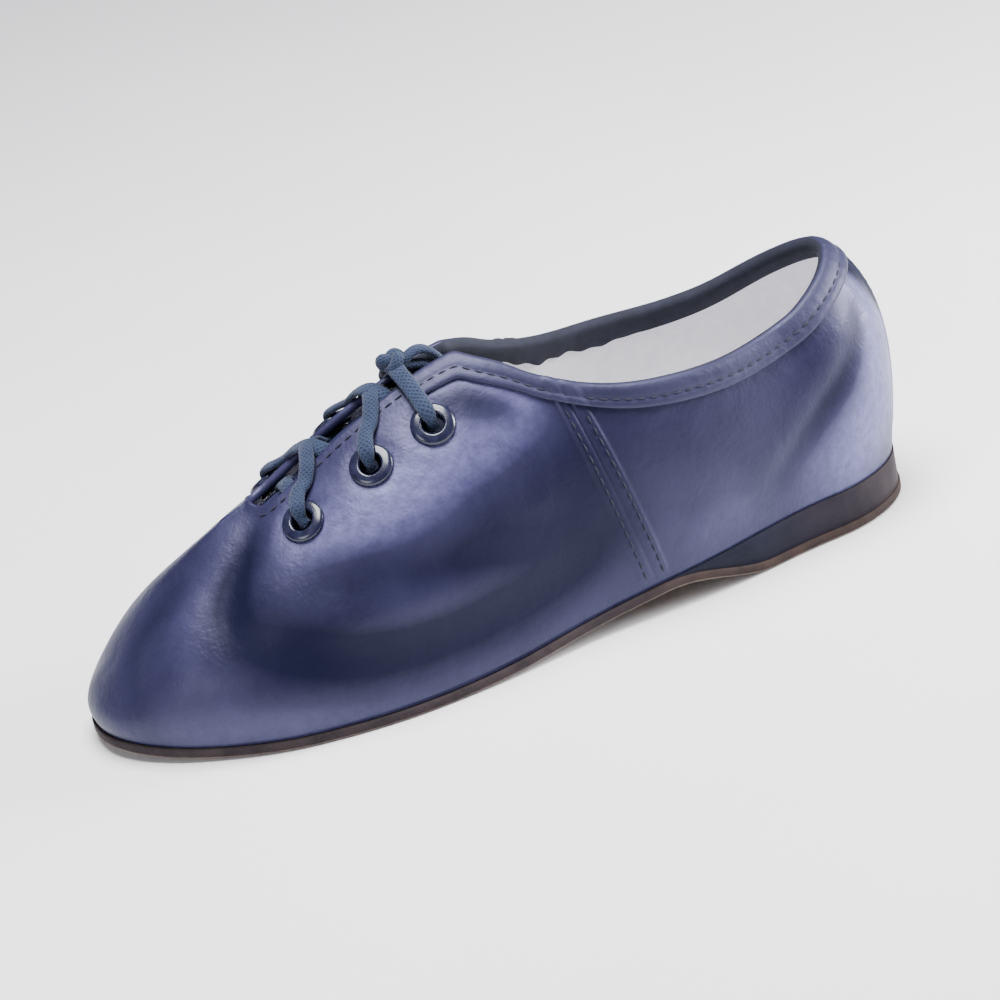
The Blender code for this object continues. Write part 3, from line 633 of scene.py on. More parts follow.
def lace_cotton():
    """Braided lace: slanting plaits that cross along the strand, from its own coordinates."""
    nodes = Nodes("lace_cotton", 0.85)
    place = nodes.tree.nodes["Texture Coordinate"].outputs["UV"]
    plaits = []
    for slant in (0.8, -0.8):
        turned = nodes.add("ShaderNodeMapping", {"Vector": place, "Rotation": (0.0, 0.0, slant)})
        plaits.append(nodes.waves(turned.outputs[0], 0.75, "X", 2.0))
    braid = nodes.maths("MAXIMUM", *plaits)
    tone = nodes.ramp(braid, (0.1, (0.007, 0.012, 0.034)), (0.9, (0.019, 0.031, 0.068)))
    worn = nodes.mix(nodes.ramp(nodes.noise(3.0, detail=4.0), (0.4, 0.0), (0.75, 0.4)),
                     tone, (0.034, 0.052, 0.105))
    return nodes.wire(Base_Color=worn, Normal=nodes.bump(braid, 0.22, 0.8),
                      Sheen_Weight=0.12, Sheen_Roughness=0.5, Specular_IOR_Level=0.25)


def suede(name, dark, light, roughness, shine=0.5, heel=None):
    """Short nap or moulded crumb with cloudy wear; heel gives other tones and where they start."""
    nodes = Nodes(name, roughness)
    clouds = nodes.noise(6.0, detail=5.0)
    tone = nodes.ramp(clouds, (0.3, dark), (0.7, light))
    if heel:
        heel_dark, heel_light, (start, end) = heel
        along = nodes.add("ShaderNodeSeparateXYZ", {0: nodes.place}).outputs["X"]
        share = nodes.add("ShaderNodeMapRange", {
            "Value": along, "From Min": start, "From Max": end}).outputs[0]
        tone = nodes.mix(share, tone, nodes.ramp(clouds, (0.3, heel_dark), (0.7, heel_light)))
    fuzz = nodes.mix(nodes.ramp(nodes.noise(0.7, detail=2.0), (0.4, 0.0), (0.8, 0.4)), tone, light)
    return nodes.wire(Base_Color=fuzz, Normal=nodes.bump(nodes.noise(0.5, detail=2.0), 0.12, 0.5),
                      Specular_IOR_Level=shine)


def painted_metal():
    """Dark enamel over brass, a little brighter in cloudy patches."""
    nodes = Nodes("eyelet_enamel", 0.22)
    clouds = nodes.noise(2.2, detail=4.0)
    worn = nodes.ramp(clouds, (0.45, (0.008, 0.009, 0.026)), (0.85, (0.024, 0.026, 0.055)))
    return nodes.wire(Base_Color=worn, Normal=nodes.bump(nodes.noise(0.9), 0.03, 0.4),
                      Coat_Weight=0.22, Coat_Roughness=0.14, Specular_IOR_Level=0.42)


def plain_floor():
    nodes = Nodes("floor", 0.9)
    tone = nodes.ramp(nodes.noise(80.0, detail=2.0), (0.3, (0.83, 0.83, 0.84)), (0.7, (0.86, 0.86, 0.87)))
    return nodes.wire(Base_Color=tone)


def eyelet_spot(side, station):
    """Centre of an eyelet on the skin, its outward normal and its turn."""
    turns = np.linspace(0.6, np.interp(station, FINE, EDGES[side]), 200)
    path = skin(side, station, turns)
    steps = np.linalg.norm(np.diff(path, axis=0), axis=1)
    left = np.concatenate((np.cumsum(steps[::-1])[::-1], [0.0]))
    turn = np.interp(-EYELET_INSET, -left, turns)
    return skin(side, station, turn) - MIDDLE, outward(side, station, turn), turn


EYELETS = {(side, number): eyelet_spot(side, station)
           for side in (OUTER, INNER) for number, station in enumerate(EYELET_STATIONS, 1)}


def eyelet_gap(points):
    """Distance from points to the centre of the nearest eyelet."""
    return np.min([np.linalg.norm(points - centre, axis=-1) for centre, _, _ in EYELETS.values()], axis=0)


def wall_lift(station, share, points, creases):
    """All relief of the outer skin: creases, seam, back strip, folded facings and dents at eyelets."""
    fade = ease(0.0, 0.08, share)
    lift = (creases + seam_lift(station) + strip_lift(station)) * fade
    dent = 0.22 * MM * (1 - ease(EYELET_FLANGE, EYELET_FLANGE + 2.2 * MM, eyelet_gap(points)))
    fold = FACING_FOLD * (1 - ease(0.0, 0.06, 1 - share))
    return lift - dent + fold * ease(0.545, 0.575, station)


def upper_side(side, stations, shares):
    """Outer skin, lining, rim, closed columns and fold marks of one side, each column by column; the fold
    marks carry painted shade and painted highlights.
    """
    places, rows = np.meshgrid(stations, shares, indexing="ij")
    base = wall(side, places, rows)
    normal = wall_normal(side, places, rows)
    creases = crease_lift(side, base)
    outer = base + normal * wall_lift(places, rows, base, creases)[..., None]
    inner = base + normal * (0.6 * creases - WALL)[..., None]
    rim = base[:, -1] - normal[:, -1] * WALL / 2 + unit(base[:, -1] - base[:, -2]) * 0.5 * MM
    edge = np.interp(np.clip(stations + seam_shift(stations), 0, 1), FINE, EDGES[side])
    closed = edge > QUARTER - 1e-6
    for grid in (outer, inner):
        grid[closed, -1, 1] = axis_at(0.5 - (grid[closed, -1, 0] + MIDDLE[0]) / LENGTH) - MIDDLE[1]
    rim[closed] = (outer[closed, -1] + inner[closed, -1]) / 2
    # Fold marks: below 0.5 in crease troughs for painted shade, above it on ridges and painted patches for
    # painted highlights
    fold = 0.5 + np.where(creases < 0, 1.0, RIDGE_HIGHLIGHT) * creases / FOLD_SPAN
    fold = np.clip(fold + soft_lines(PAINTED_PATCHES, side, base, 0.5) / 2, 0.0, 1.0)
    return outer, inner, rim, closed, fold


def build_upper(outer_leather, lining):
    """The upper as a closed shell: leather outside, lining inside and round cut edges."""
    stations = ring_stations()
    shares = np.linspace(0.0, 1.0, WALL_ROWS) ** 0.96
    near, far = (upper_side(side, stations, shares) for side in (OUTER, INNER))
    outer, inner, rim, closed, fold = (
        np.concatenate((one, other[-2:0:-1])) for one, other in zip(near, far))
    places = np.concatenate((stations, stations[-2:0:-1]))
    # Painted shade: lining faces under the facings take the dark leather instead of the pale lining
    shaded_column = (places > SHADE_UNDER_FACINGS[0]) & (places < SHADE_UNDER_FACINGS[1])
    count, rows = len(places), WALL_ROWS
    inward = outer[:, -1] - outer[:, 0]
    inward[:, 2] = 0.0
    turned = outer[:, 0] + unit(inward) * TURNED_MARGIN
    points = np.concatenate((outer.reshape(-1, 3), inner.reshape(-1, 3), rim, turned,
                             turned + np.array((0.0, 0.0, WALL))))
    fold = np.concatenate((fold.ravel(), fold.ravel(), fold[:, -1], fold[:, 0], fold[:, 0]))
    inside = count * rows
    rim_start = 2 * inside
    low_start = rim_start + count
    high_start = low_start + count
    middles = (outer[:, :-1] + outer[:, 1:]) / 2
    cut = eyelet_gap((middles + np.roll(middles, -1, axis=0)) / 2) < HOLE_CUT
    faces, slots = [], []

    def add(slot, *corners):
        faces.append(corners)
        slots.append(slot)

    for column in range(count):
        after = (column + 1) % count
        for row in range(rows - 1):
            a, b = column * rows + row, after * rows + row
            if not cut[column, row]:
                dark = shaded_column[column] and row > SHADE_ROW
                add(0, a, a + 1, b + 1, b)
                add(0 if dark else 1, inside + b, inside + b + 1, inside + a + 1, inside + a)
                continue
            for beyond, start, end in ((cut[column - 1, row], a, a + 1), (cut[after, row], b + 1, b),
                                       (cut[column, row - 1], b, a), (cut[column, row + 1], a + 1, b + 1)):
                if not beyond:
                    add(0, start, end, inside + end, inside + start)
        a, b = column * rows, after * rows
        top_a, top_b = a + rows - 1, b + rows - 1
        if not (closed[column] and closed[after]):
            add(0, top_a, rim_start + column, rim_start + after, top_b)
            add(0, rim_start + column, inside + top_a, inside + top_b, rim_start + after)
        add(0, b, low_start + after, low_start + column, a)
        add(0, low_start + after, high_start + after, high_start + column, low_start + column)
        add(1, high_start + after, inside + b, inside + a, high_start + column)
    upper = new_mesh("upper_leather", points, faces, [outer_leather, lining], slots, weld=2e-6, folds=fold)
    return show(upper, "upper_leather", "upper")


def ring_faces(count, size, closed=False):
    """Faces between rings of points, one after another, and both end caps unless it is closed."""
    faces = []
    for section in range(count if closed else count - 1):
        here, after = section * size, (section + 1) % count * size
        for place in range(size):
            ahead = (place + 1) % size
            faces.append((here + place, here + ahead, after + ahead, after + place))
    if not closed:
        faces.append(tuple(range(size))[::-1])
        faces.append(tuple(range((count - 1) * size, count * size)))
    return faces


def sweep(name, sections, materials, closed=False, slots=None):
    """Joins rings of points, one after another, into a closed tube."""
    faces = ring_faces(*sections.shape[:2], closed)
    return new_mesh(name, sections.reshape(-1, 3), faces, materials, slots)


# Section of the tape, from its outer hem over the topline to the inner hem and back
BINDING = np.array((
    # down the wall mm, out from the skin mm
    (5.5, 0.25), (5.5, 0.70), (5.1, 0.90), (4.5, 0.98), (3.9, 0.94), (3.4, 0.76), (2.9, 0.95),
    (2.2, 1.06), (1.3, 1.10), (0.5, 1.02), (-0.1, 0.80), (-0.65, 0.25), (-0.85, -0.5), (-0.85, -1.1),
    (-0.65, -1.7), (-0.1, -2.30), (1.0, -2.55), (3.0, -2.50), (4.6, -2.40), (4.9, -2.25), (4.9, -1.85),
    (2.0, -1.85), (-0.1, -1.8), (-0.35, -0.8), (-0.1, 0.25), (2.5, 0.25),
))

# Places of the section that show inside the shoe, given a darker, duller copy of the tape as painted shade
BINDING_INSIDE = range(11, 21)


def build_binding(material, inner_material):
    """Soft tape folded over the topline, with a stitched groove between two full bands."""
    places = BINDING_END * (1 - np.cos(QUARTER * np.linspace(0, 1, BINDING_COLUMNS)))
    drop, out = BINDING[:, 0] * MM, BINDING[:, 1]
    sections = []
    for side, stations in ((OUTER, places[::-1]), (INNER, places[1:])):
        edge = wall(side, stations, 1.0)
        normal = wall_normal(side, stations, 1.0)
        up = unit(edge - wall(side, stations, 0.99))
        raised = (seam_lift(stations) + strip_lift(stations)) * ease(0.0, 0.02, stations)
        run = run_of(edge)
        pucker = 1 + 0.015 * np.sin(2 * np.pi * run / STITCH_PITCH)
        lift = np.where(out > 0.3, out * pucker[:, None], out) * MM
        lift = lift + np.where(out > 0, raised[:, None], 0.0)
        down = np.maximum(drop, 0.0)
        if side == INNER:
            torn = 0.5 + 0.3 * np.sin(run / (2.9 * MM)) + 0.2 * np.sin(run / MM)
            ragged = RAGGED_HEM * ease(0.20, 0.34, stations) * torn
            down = down + np.where(out < -1.8, down / (4.9 * MM), 0.0) * ragged[:, None]
        share = 1 - down / wall_height(side, stations)[:, None]
        on_wall = wall(side, stations[:, None], share, lift)
        over = edge[:, None] + normal[:, None] * lift[..., None] - up[:, None] * drop[None, :, None]
        sections.append(np.where((drop > 0)[None, :, None], on_wall, over))
    rings = np.concatenate(sections)
    inside = [int(place in BINDING_INSIDE) for place in range(len(BINDING))]
    binding = sweep("binding_tape", rings, [material, inner_material],
                    slots=inside * (len(rings) - 1) + [0, 0])
    return show(binding, "binding_leather", "collar_binding")


def stitch_rows():
    """Each row of stitches: side, then stations and shares along it, and its height over the skin."""
    rows = []

    def upright(side, station, height):
        top = 1 - (BINDING_WIDTH + 0.6 * MM) / wall_height(side, station)
        rows.append((side, np.full(60, station), np.linspace(0.03, 0.99, 60) * top, height))

    def along_edge(side, stations, inset, height):
        rows.append((side, stations, 1 - inset / wall_height(side, stations), height))

    strip_station = HEEL_ROUND / LENGTH * (1 - math.sqrt(1 - (STRIP_ROW / STRIP_REACH) ** 2))
    for side in (OUTER, INNER):
        for sign in (-1, 1):
            upright(side, SEAM_STATION + sign * SEAM_ROW / LENGTH, SEAM_RISE)
        along_edge(side, np.linspace(0.012, BINDING_END - 0.01, 240), 3.4 * MM, 0.80 * MM)
        along_edge(side, np.linspace(0.645, 0.905, 160), 2.4 * MM, 0.1 * MM)
        upright(side, strip_station, SEAM_RISE - 0.22 * MM)
    return rows


def build_stitches(material):
    """Every visible stitch as a short bowed thread, in one mesh."""
    length, radius, sides, rings = 2.0 * MM, 0.21 * MM, 6, 5
    angles = 2 * np.pi * np.arange(sides) / sides
    bow = np.sin(np.pi * np.arange(rings) / (rings - 1))[:, None]
    points, faces = [], []
    for side, stations, shares, height in stitch_rows():
        base = wall(side, stations, shares)
        normals = wall_normal(side, stations, shares)
        path = base + normals * (height + crease_lift(side, base))[..., None]
        run = run_of(path)
        for start in np.arange(STITCH_PITCH / 2, run[-1] - length, STITCH_PITCH):
            reads = start + np.linspace(0, length, rings)
            spine = np.stack([np.interp(reads, run, path[:, k]) for k in range(3)], -1)
            normal = np.array([np.interp(reads[rings // 2], run, normals[:, k]) for k in range(3)])
            across = np.cross(normal, unit(spine[-1] - spine[0]))
            middle = spine + normal * (bow * 0.22 * MM - 0.10 * MM)
            around = across * np.cos(angles)[:, None] + normal * np.sin(angles)[:, None]
            first = len(points) * rings * sides
            points.append(middle[:, None] + around * (radius * (0.45 + 0.55 * bow))[..., None])
            faces += [tuple(first + place for place in face) for face in ring_faces(rings, sides)]
    stitches = new_mesh("stitches", np.reshape(points, (-1, 3)), faces, [material])
    return show(stitches, "upper_leather")


def outline(offset, stations):
    """Edge points of the last in plan, moved out by an offset, for both sides."""
    edges = {}
    for side in (OUTER, INNER):
        foot = skin(side, stations, 0.0)[:, :2]
        run = np.gradient(foot, axis=0)
        out = unit(np.stack((run[:, 1], -run[:, 0]), -1) * side)
        out[0] = (1.0, 0.0)
        out[-1] = (-1.0, 0.0)
        edges[side] = foot + out * offset
    return edges


def build_sheet(name, stations, offset, top, bottom, bevel, materials, slot, node):
    """A flat layer with rounded edges; a second material is its face below."""
    edges = outline(offset, stations)
    centre = (edges[OUTER] + edges[INNER]) / 2
    ring = np.concatenate((edges[OUTER], edges[INNER][1:-1][::-1]))
    spine = np.concatenate((centre, centre[1:-1][::-1]))
    span = np.linalg.norm(ring - spine, axis=1, keepdims=True)
    inset = np.minimum(bevel / np.maximum(span, 1e-9), 0.6)
    flat = [spine + (ring - spine) * share * (1 - inset) for share in (0.0, 0.3, 0.6, 0.85, 1.0)]
    loops = [(plan, top, 0.0) for plan in flat] + [(ring, top, -bevel), (ring, bottom, bevel)]
    loops += [(plan, bottom, 0.0) for plan in flat[::-1]]
    points = []
    for plan, height, drop in loops:
        along = np.clip(0.5 - plan[:, 0] / LENGTH, 0.0, 1.0)
        points.append(np.column_stack((plan, height(along) + drop)) - MIDDLE)
    faces = [(a, d, c, b) for a, b, c, d in ring_faces(len(loops), len(ring))[:-2]]
    below = (len(flat) + 1) * len(ring)
    slots = [int(len(materials) > 1 and place >= below) for place in range(len(faces))]
    piece = new_mesh(name, np.concatenate(points), faces, materials, slots, weld=1e-6)
    return show(piece, slot, node)


def sole_underside(along):
    waist = feather_at(along) - CLEARANCE - SOLE
    return waist * ease(HEEL_FLAT_END, WAIST_START, along)


def build_soles(sole_edge, sole_face, rubber, sock):
    """Outsole, wedge and insole."""
    stations = (1 - np.cos(np.linspace(0.0, np.pi, 241))) / 2
    build_sheet("outsole_suede", stations, SOLE_EDGE + 0.1 * MM,
                lambda along: sole_underside(along) + SOLE + 0.1 * MM,
                sole_underside, 0.35 * MM, [sole_edge, sole_face], "sole_suede", "outsole")
    front = WAIST_START - 0.004
    wedge_stations = front * (1 - np.cos(np.linspace(0.0, QUARTER, 90)))

    def wedge_underside(along):
        return np.minimum(sole_underside(along) + SOLE + 0.15 * MM, feather_at(along) - 0.2 * MM)

    build_sheet("wedge_heel", wedge_stations, SOLE_EDGE / 2,
                lambda along: feather_at(along) - 0.10 * MM, wedge_underside,
                0.05 * MM, [rubber], "heel_rubber", "heel_wedge")
    floor = WALL + CLEARANCE
    build_sheet("sock", stations, -WALL - 1.5 * CLEARANCE,
                lambda along: feather_at(along) + floor + INSOLE,
                lambda along: feather_at(along) + floor, 0.3 * MM, [sock], "insole_fabric", "insole")


def tongue_turn(along, half):
    """The turn at which the skin lies half a tongue's width from the ridge."""
    turns = np.linspace(0.05, QUARTER, 200)
    reach = abs(skin(OUTER, column_station(along), turns)[:, 1] - axis_at(along))
    return np.interp(-half, -reach, turns)


def build_tongue(material, lining):
    """The tongue: crowned across the instep, its free end rounded and drooping."""
    steps, across = 60, 40
    shares = np.linspace(0.0, 1.0, steps + 1)
    along = TONGUE_TOP + (TONGUE_LOW - TONGUE_TOP) * shares
    half = TONGUE_HALF_TOP + (TONGUE_HALF_LOW - TONGUE_HALF_TOP) * shares
    half = half + TONGUE_SPREAD * ease(0.0, 0.6, shares)
    half = half * np.sqrt(1 - (1 - np.minimum(shares / 0.10, 1.0)) ** 2 * 0.55)
    low = np.array([tongue_turn(place, width) for place, width in zip(along, half)])
    droop = TONGUE_DROOP * (1 - ease(0.0, TONGUE_DROOP_SHARE, shares))
    slide = np.linspace(-1.0, 1.0, across + 1)
    turn = QUARTER + (low[:, None] - QUARTER) * abs(slide)
    station = np.broadcast_to(column_station(along)[:, None], turn.shape)
    rise = 1.2 * MM * ease(TONGUE_LOW - TONGUE_SEAM, TONGUE_LOW, along)
    sheets = []
    for thickness in (0.0, TONGUE):
        depth = (WALL + 1.5 * MM + thickness - rise)[:, None, None]
        halves = []
        for side, part in ((OUTER, slide < 0), (INNER, slide >= 0)):
            place = (side, station[:, part], turn[:, part])
            halves.append(skin(*place) - outward(*place) * depth - MIDDLE)
        sheets.append(np.concatenate(halves, axis=1) - droop[:, None, None] * (0.0, 0.0, 1.0))
    points = np.reshape(sheets, (-1, 3))
    count = len(points) // 2
    faces, slots = [], []
    for row in range(steps):
        for step in range(across):
            a = row * (across + 1) + step
            b = a + across + 1
            faces += [(a, a + 1, b + 1, b), (count + b, count + b + 1, count + a + 1, count + a)]
            slots += [0, 1]
    grid = np.arange(count).reshape(steps + 1, across + 1)
    rim = np.concatenate((grid[:, 0], grid[-1, 1:], grid[-2::-1, -1], grid[0, -2:0:-1])).tolist()
    for here, after in zip(rim, rim[1:] + rim[:1]):
        faces.append((here, after, after + count, here + count))
        slots.append(0)
    piece = new_mesh("tongue_leather", points, faces, [material, lining], slots)
    return show(piece, "tongue_leather", "tongue")


def build_eyelets(material):
    """Rolled eyelets: a domed flange, a round inner roll and a clenched back."""
    roll = [(EYELET_HOLE + 0.45 * MM - 0.45 * MM * math.cos(a), 0.55 * MM + 0.42 * MM * math.sin(a))
            for a in np.linspace(-0.4, math.pi * 0.62, 8)]
    radius, height = np.array((
        (EYELET_HOLE + 0.1 * MM, -WALL - 1.1 * MM), (EYELET_HOLE + 0.15 * MM, -WALL), *roll,
        (3.55 * MM, 0.92 * MM), (4.1 * MM, 0.78 * MM), (4.6 * MM, 0.48 * MM),
        (EYELET_FLANGE, 0.12 * MM), (4.7 * MM, -0.12 * MM), (4.2 * MM, -0.12 * MM),
        (EYELET_BARREL + 0.1 * MM, 0.05 * MM), (EYELET_BARREL, -WALL - 0.4 * MM),
        (3.9 * MM, -WALL - 0.6 * MM), (3.9 * MM, -WALL - 1.1 * MM))).T
    angles = np.linspace(0, 2 * np.pi, 48, endpoint=False)
    rings = np.stack([np.outer(np.cos(angles), radius), np.outer(np.sin(angles), radius),
                      np.outer(np.ones(48), height)], -1)
    for (side, number), (centre, normal, _) in EYELETS.items():
        word = "outer" if side == OUTER else "inner"
        turn = np.array(Vector(normal).to_track_quat("Z", "X").to_matrix())
        eyelet = sweep(f"eyelet_ring_{word}_{number}", rings @ turn.T + centre, [material], closed=True)
        show(eyelet, "eyelet_metal", f"eyelet_{word}_{number}")


def smooth_path(keys, per_key=8):
    """A smooth curve through points, at even steps between them."""
    keys = np.asarray(keys, float)
    table = np.column_stack((np.arange(len(keys)), keys))
    reads = np.linspace(0, len(keys) - 1, per_key * (len(keys) - 1) + 1)
    return np.stack([smooth(table, column, reads) for column in range(1, table.shape[1])], -1)


def rings_round(path, ahead, normals, wide, tall):
    """Rings of points round a path, their width square to the given normals."""
    ahead = unit(ahead)
    across = unit(np.cross(normals, ahead))
    up = np.cross(ahead, across)
    return path[:, None] + across[:, None] * wide[..., None] + up[:, None] * tall[..., None]


def strand(name, path, normals, half_width, half_thick, material):
    """A flat braided strand with rounded edges."""
    sides = 16
    half_width = np.broadcast_to(half_width, len(path))
    angles = np.linspace(0, 2 * np.pi, sides, endpoint=False)
    wide = np.sign(np.cos(angles)) * abs(np.cos(angles)) ** 0.8
    tall = np.sign(np.sin(angles)) * abs(np.sin(angles)) ** 0.9
    sections = rings_round(path, np.gradient(path, axis=0), normals,
                           half_width[:, None] * wide, half_thick * tall)
    piece = sweep(name, sections, [material])
    add_strand_map(piece, path, sides, half_width.mean())
    return piece


def add_strand_map(piece, path, sides, half_width):
    """Coordinates along and round a strand, in half widths, for its braid."""
    run = run_of(path) / half_width
    layer = piece.data.uv_layers.new(name="strand")
    for polygon in piece.data.polygons:
        rounds = [index % sides for index in polygon.vertices]
        wraps = max(rounds) - min(rounds) > sides / 2
        for loop, index, turn in zip(polygon.loop_indices, polygon.vertices, rounds):
            turn += sides if wraps and turn < sides / 2 else 0
            layer.data[loop].uv = (run[index // sides], turn / sides * 6.0)


def over_skin(side, along, turn, height):
    """A point and normal at a height over the skin, above a station of the shoe, across the ridge too."""
    if turn > QUARTER:
        side, turn = -side, math.pi - turn
    reach = 0.5 - skin(side, FINE, turn)[:, 0] / LENGTH
    station = np.interp(along, reach, FINE)
    normal = outward(side, station, turn)
    return skin(side, station, turn) + normal * height - MIDDLE, normal


def eyelet_along(side, number):
    """The station of the shoe that lies over an eyelet's centre."""
    centre = EYELETS[(side, number)][0]
    return 0.5 - (centre[0] + MIDDLE[0]) / LENGTH


def edge_over(side, along):
    """The turn of the facing's edge at a station of the shoe."""
    points = skin(side, FINE, EDGES[side])
    reach = 0.5 - points[:, 0] / LENGTH
    return np.interp(along, reach, EDGES[side])


def lace_half(first_side):
    """Keys of one half of the lace: up through each eyelet and under the other facing."""
    keys, normals = [], []

    def go(side, along, turn, height):
        point, normal = over_skin(side, along, turn, height * MM)
        keys.append(point)
        normals.append(normal)

    side = first_side
    rise = 0.35 if first_side == OUTER else 0.0
    for number in (3, 2, 1):
        start = eyelet_along(side, number)
        turn = EYELETS[(side, number)][2]
        step = (QUARTER - turn) / STEPS_TO_RIDGE
        if number == 3:
            go(side, start, QUARTER - 0.02, -2.4)
            go(side, start, (QUARTER + turn) / 2, -2.6)
        go(side, start, turn + 0.1 * step, -1.5)
        go(side, start, turn + 0.8 * step, 0.3)
        if number == 1:
            break
        far = EYELETS[(-side, number - 1)][2]
        span = eyelet_along(-side, number - 1) - start
        edge = edge_over(side, start + span * 0.36)
        far_edge = edge_over(-side, start + span * 0.64)
        go(side, start + span * 0.04, turn + 2.2 * step, 1.85)
        go(side, start + span * 0.12, turn + 4.8 * step, 1.35)
        go(side, start + span * 0.24, (turn + 2 * edge) / 3, 0.85)
        go(side, start + span * 0.36, edge - 0.2 * step, 0.90 + rise)
        go(side, start + span * 0.46, QUARTER - 1.2 * step, 0.55 + rise)
        go(-side, start + span * 0.56, far_edge + 1.8 * step, -0.5)
        go(-side, start + span * 0.66, far_edge - 1.5 * step, -2.5)
        go(-side, start + span * 0.90, far + 3.0 * step, -2.7)
        side = -side
    for share, height in ((0.13, 1.95), (0.30, 1.9), (0.52, 2.3), (0.70, 2.5)):
        go(side, start + (KNOT_STATION - start) * share, turn + (QUARTER - turn) * share, height)
    knot = shoe_point(KNOT_STATION, 0.0, KNOT_RISE)
    keys.append(keys[-1] + (knot - keys[-1]) * 0.75)
    normals.append(normals[-1])
    return keys, normals


def build_laces(material):
    """Both halves of the lace, the knot over the instep and the two tucked ends."""
    for side, word in ((OUTER, "outer"), (INNER, "inner")):
        keys, normals = lace_half(side)
        path = smooth_path(keys, 9)
        width = LACE_HALF - 0.70 * MM * np.exp(-(eyelet_gap(path) / (2.0 * MM)) ** 2)
        half = strand(f"lace_half_{word}", path, smooth_path(normals, 9), width, 0.78 * MM, material)
        show(half, "lace_cotton", *(["lace_crossings"] if side == OUTER else []))
    knot = build_knot(material)
    for name, route in LACE_ENDS.items():
        start = (KNOT_STATION - 0.006, 0.0, KNOT_RISE - 1.5 * MM)
        path = smooth_path([shoe_point(*row) for row in (start, *route)])
        normals = np.tile((0.35, 0.0, 1.0), (len(path), 1))
        end = strand(f"{name}_cotton", path, normals, LACE_HALF, 0.90 * MM, material)
        show(end, "lace_cotton", name)


def build_knot(material):
    """An overhand knot: the strand runs through its own loop."""
    turns = np.linspace(0, 2 * np.pi, 97)[:-1]
    x = (np.sin(turns) + 2 * np.sin(2 * turns)) * 0.86 * MM
    y = (np.cos(turns) - 2 * np.cos(2 * turns)) * 0.74 * MM
    z = -np.sin(3 * turns) * 1.05 * MM
    loop = np.stack((x, y, z), -1)
    path = loop + shoe_point(KNOT_STATION, 0.0, KNOT_RISE)
    ahead = np.roll(path, -1, axis=0) - np.roll(path, 1, axis=0)
    angles = np.linspace(0, 2 * np.pi, 14, endpoint=False)
    sections = rings_round(path, ahead, loop + (0.0, 0.0, 1.2 * MM),
                           1.35 * MM * np.cos(angles), 1.15 * MM * np.sin(angles))
    knot = sweep("lace_overhand", sections, [material], closed=True)
    add_strand_map(knot, path, len(angles), 1.4 * MM)
    return show(knot, "lace_cotton", "lace_knot")


def add_camera():
    """The photo's own view: its angle, roll and framing."""
    data = bpy.data.cameras.new("camera")
    data.sensor_width = SENSOR
    data.lens = SENSOR * VIEW_PIXELS / PICTURE
    data.clip_start = 0.01
    camera = link("camera", data)
    place = Matrix.Translation(Vector(VIEW_TARGET) - Vector(MIDDLE))
    for degrees, axis in ((VIEW_AZIMUTH, "Z"), (90 - VIEW_ELEVATION, "X"), (VIEW_ROLL, "Z")):
        place = place @ Matrix.Rotation(math.radians(degrees), 4, axis)
    camera.matrix_world = place @ Matrix.Translation((0.0, 0.0, VIEW_DISTANCE))
    bpy.context.scene.camera = camera


def add_area(name, place, aim, size, power, colour):
    data = bpy.data.lights.new(name, "AREA")
    data.shape = "RECTANGLE"
    data.size, data.size_y = size
    data.energy = power
    data.color = colour
    lamp = link(name, data)
    lamp.location = place
    lamp.rotation_euler = (Vector(aim) - Vector(place)).to_track_quat("-Z", "Y").to_euler()


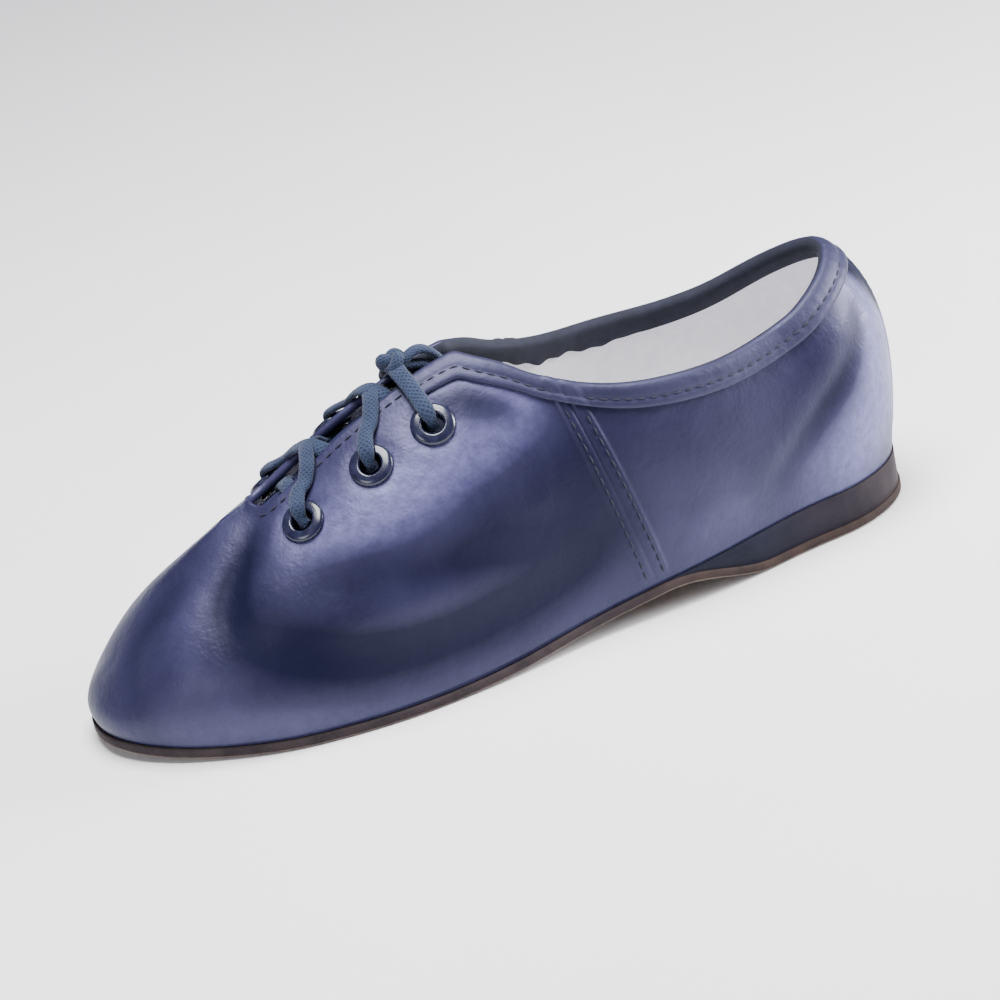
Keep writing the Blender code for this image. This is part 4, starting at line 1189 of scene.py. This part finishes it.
def add_lights():
    world = bpy.data.worlds.new("studio")
    world.use_nodes = True
    background = world.node_tree.nodes["Background"]
    background.inputs["Color"].default_value = (0.90, 0.91, 1.0, 1.0)
    background.inputs["Strength"].default_value = 0.16
    bpy.context.scene.world = world
    add_area("overhead", (0.02, -0.02, 0.80), (0.0, 0.0, 0.03), (0.60, 0.45), 22.0, (0.97, 0.97, 1.0))
    add_area("heel_side", (0.55, -0.12, 0.22), (0.07, 0.0, 0.04), (0.20, 0.30), 7.0, (0.97, 0.97, 1.0))
    add_area("toe_side", (-0.50, -0.30, 0.25), (-0.08, 0.0, 0.03), (0.25, 0.25), 1.2, (0.95, 0.95, 1.0))


def add_floor():
    half = 3.0
    corners = [(-half, -half, 0.0), (half, -half, 0.0), (half, half, 0.0), (-half, half, 0.0)]
    floor = new_mesh("floor", corners, [(0, 1, 2, 3)], [plain_floor()])
    floor.location = (0.0, 0.0, -0.0002)


def main():
    navy = leather("navy_leather", (0.0100, 0.0098, 0.030), (0.0220, 0.0218, 0.053), 0.42, painted_light=True)
    tape = leather("tape_leather", (0.0095, 0.0093, 0.026), (0.0190, 0.0186, 0.044), 0.52, grain_mm=0.7)
    # Painted shade: a darker, duller copy of the tape for the binding's faces inside the shoe
    tape_in_shade = cloth("tape_in_shade", (0.003, 0.004, 0.012), (0.008, 0.009, 0.024), 0.9, 0.3, 0.05, 0.0)
    tongue_face = leather("tongue_skin", (0.010, 0.012, 0.032), (0.022, 0.025, 0.060), 0.48)
    thread = cloth("navy_thread", (0.004, 0.005, 0.015), (0.011, 0.012, 0.030), 0.8, 0.3, 0.05, 0.0)
    lining = cloth("pale_lining", (0.86, 0.85, 0.90), (0.93, 0.92, 0.95), 0.8, 0.35, 0.06)
    sock = cloth("pale_sock", (0.88, 0.87, 0.88), (0.94, 0.93, 0.94), 0.85, 0.5, 0.08)
    sole_edge = suede("sole_edge", (0.016, 0.012, 0.014), (0.040, 0.029, 0.030), 0.8, 0.2,
                      ((0.018, 0.011, 0.010), (0.050, 0.031, 0.025), HEEL_TONE))
    sole_face = suede("sole_face", (0.10, 0.075, 0.06), (0.17, 0.13, 0.105), 0.9)
    rubber = suede("heel_rubber", (0.004, 0.005, 0.013), (0.010, 0.010, 0.022), 0.6, 0.14,
                   ((0.016, 0.011, 0.012), (0.034, 0.022, 0.022), WEDGE_TONE))
    build_upper(navy, lining)
    build_binding(tape, tape_in_shade)
    build_stitches(thread)
    build_soles(sole_edge, sole_face, rubber, sock)
    build_tongue(tongue_face, lining)
    build_eyelets(painted_metal())
    build_laces(lace_cotton())
    add_floor()
    add_lights()
    add_camera()


main()
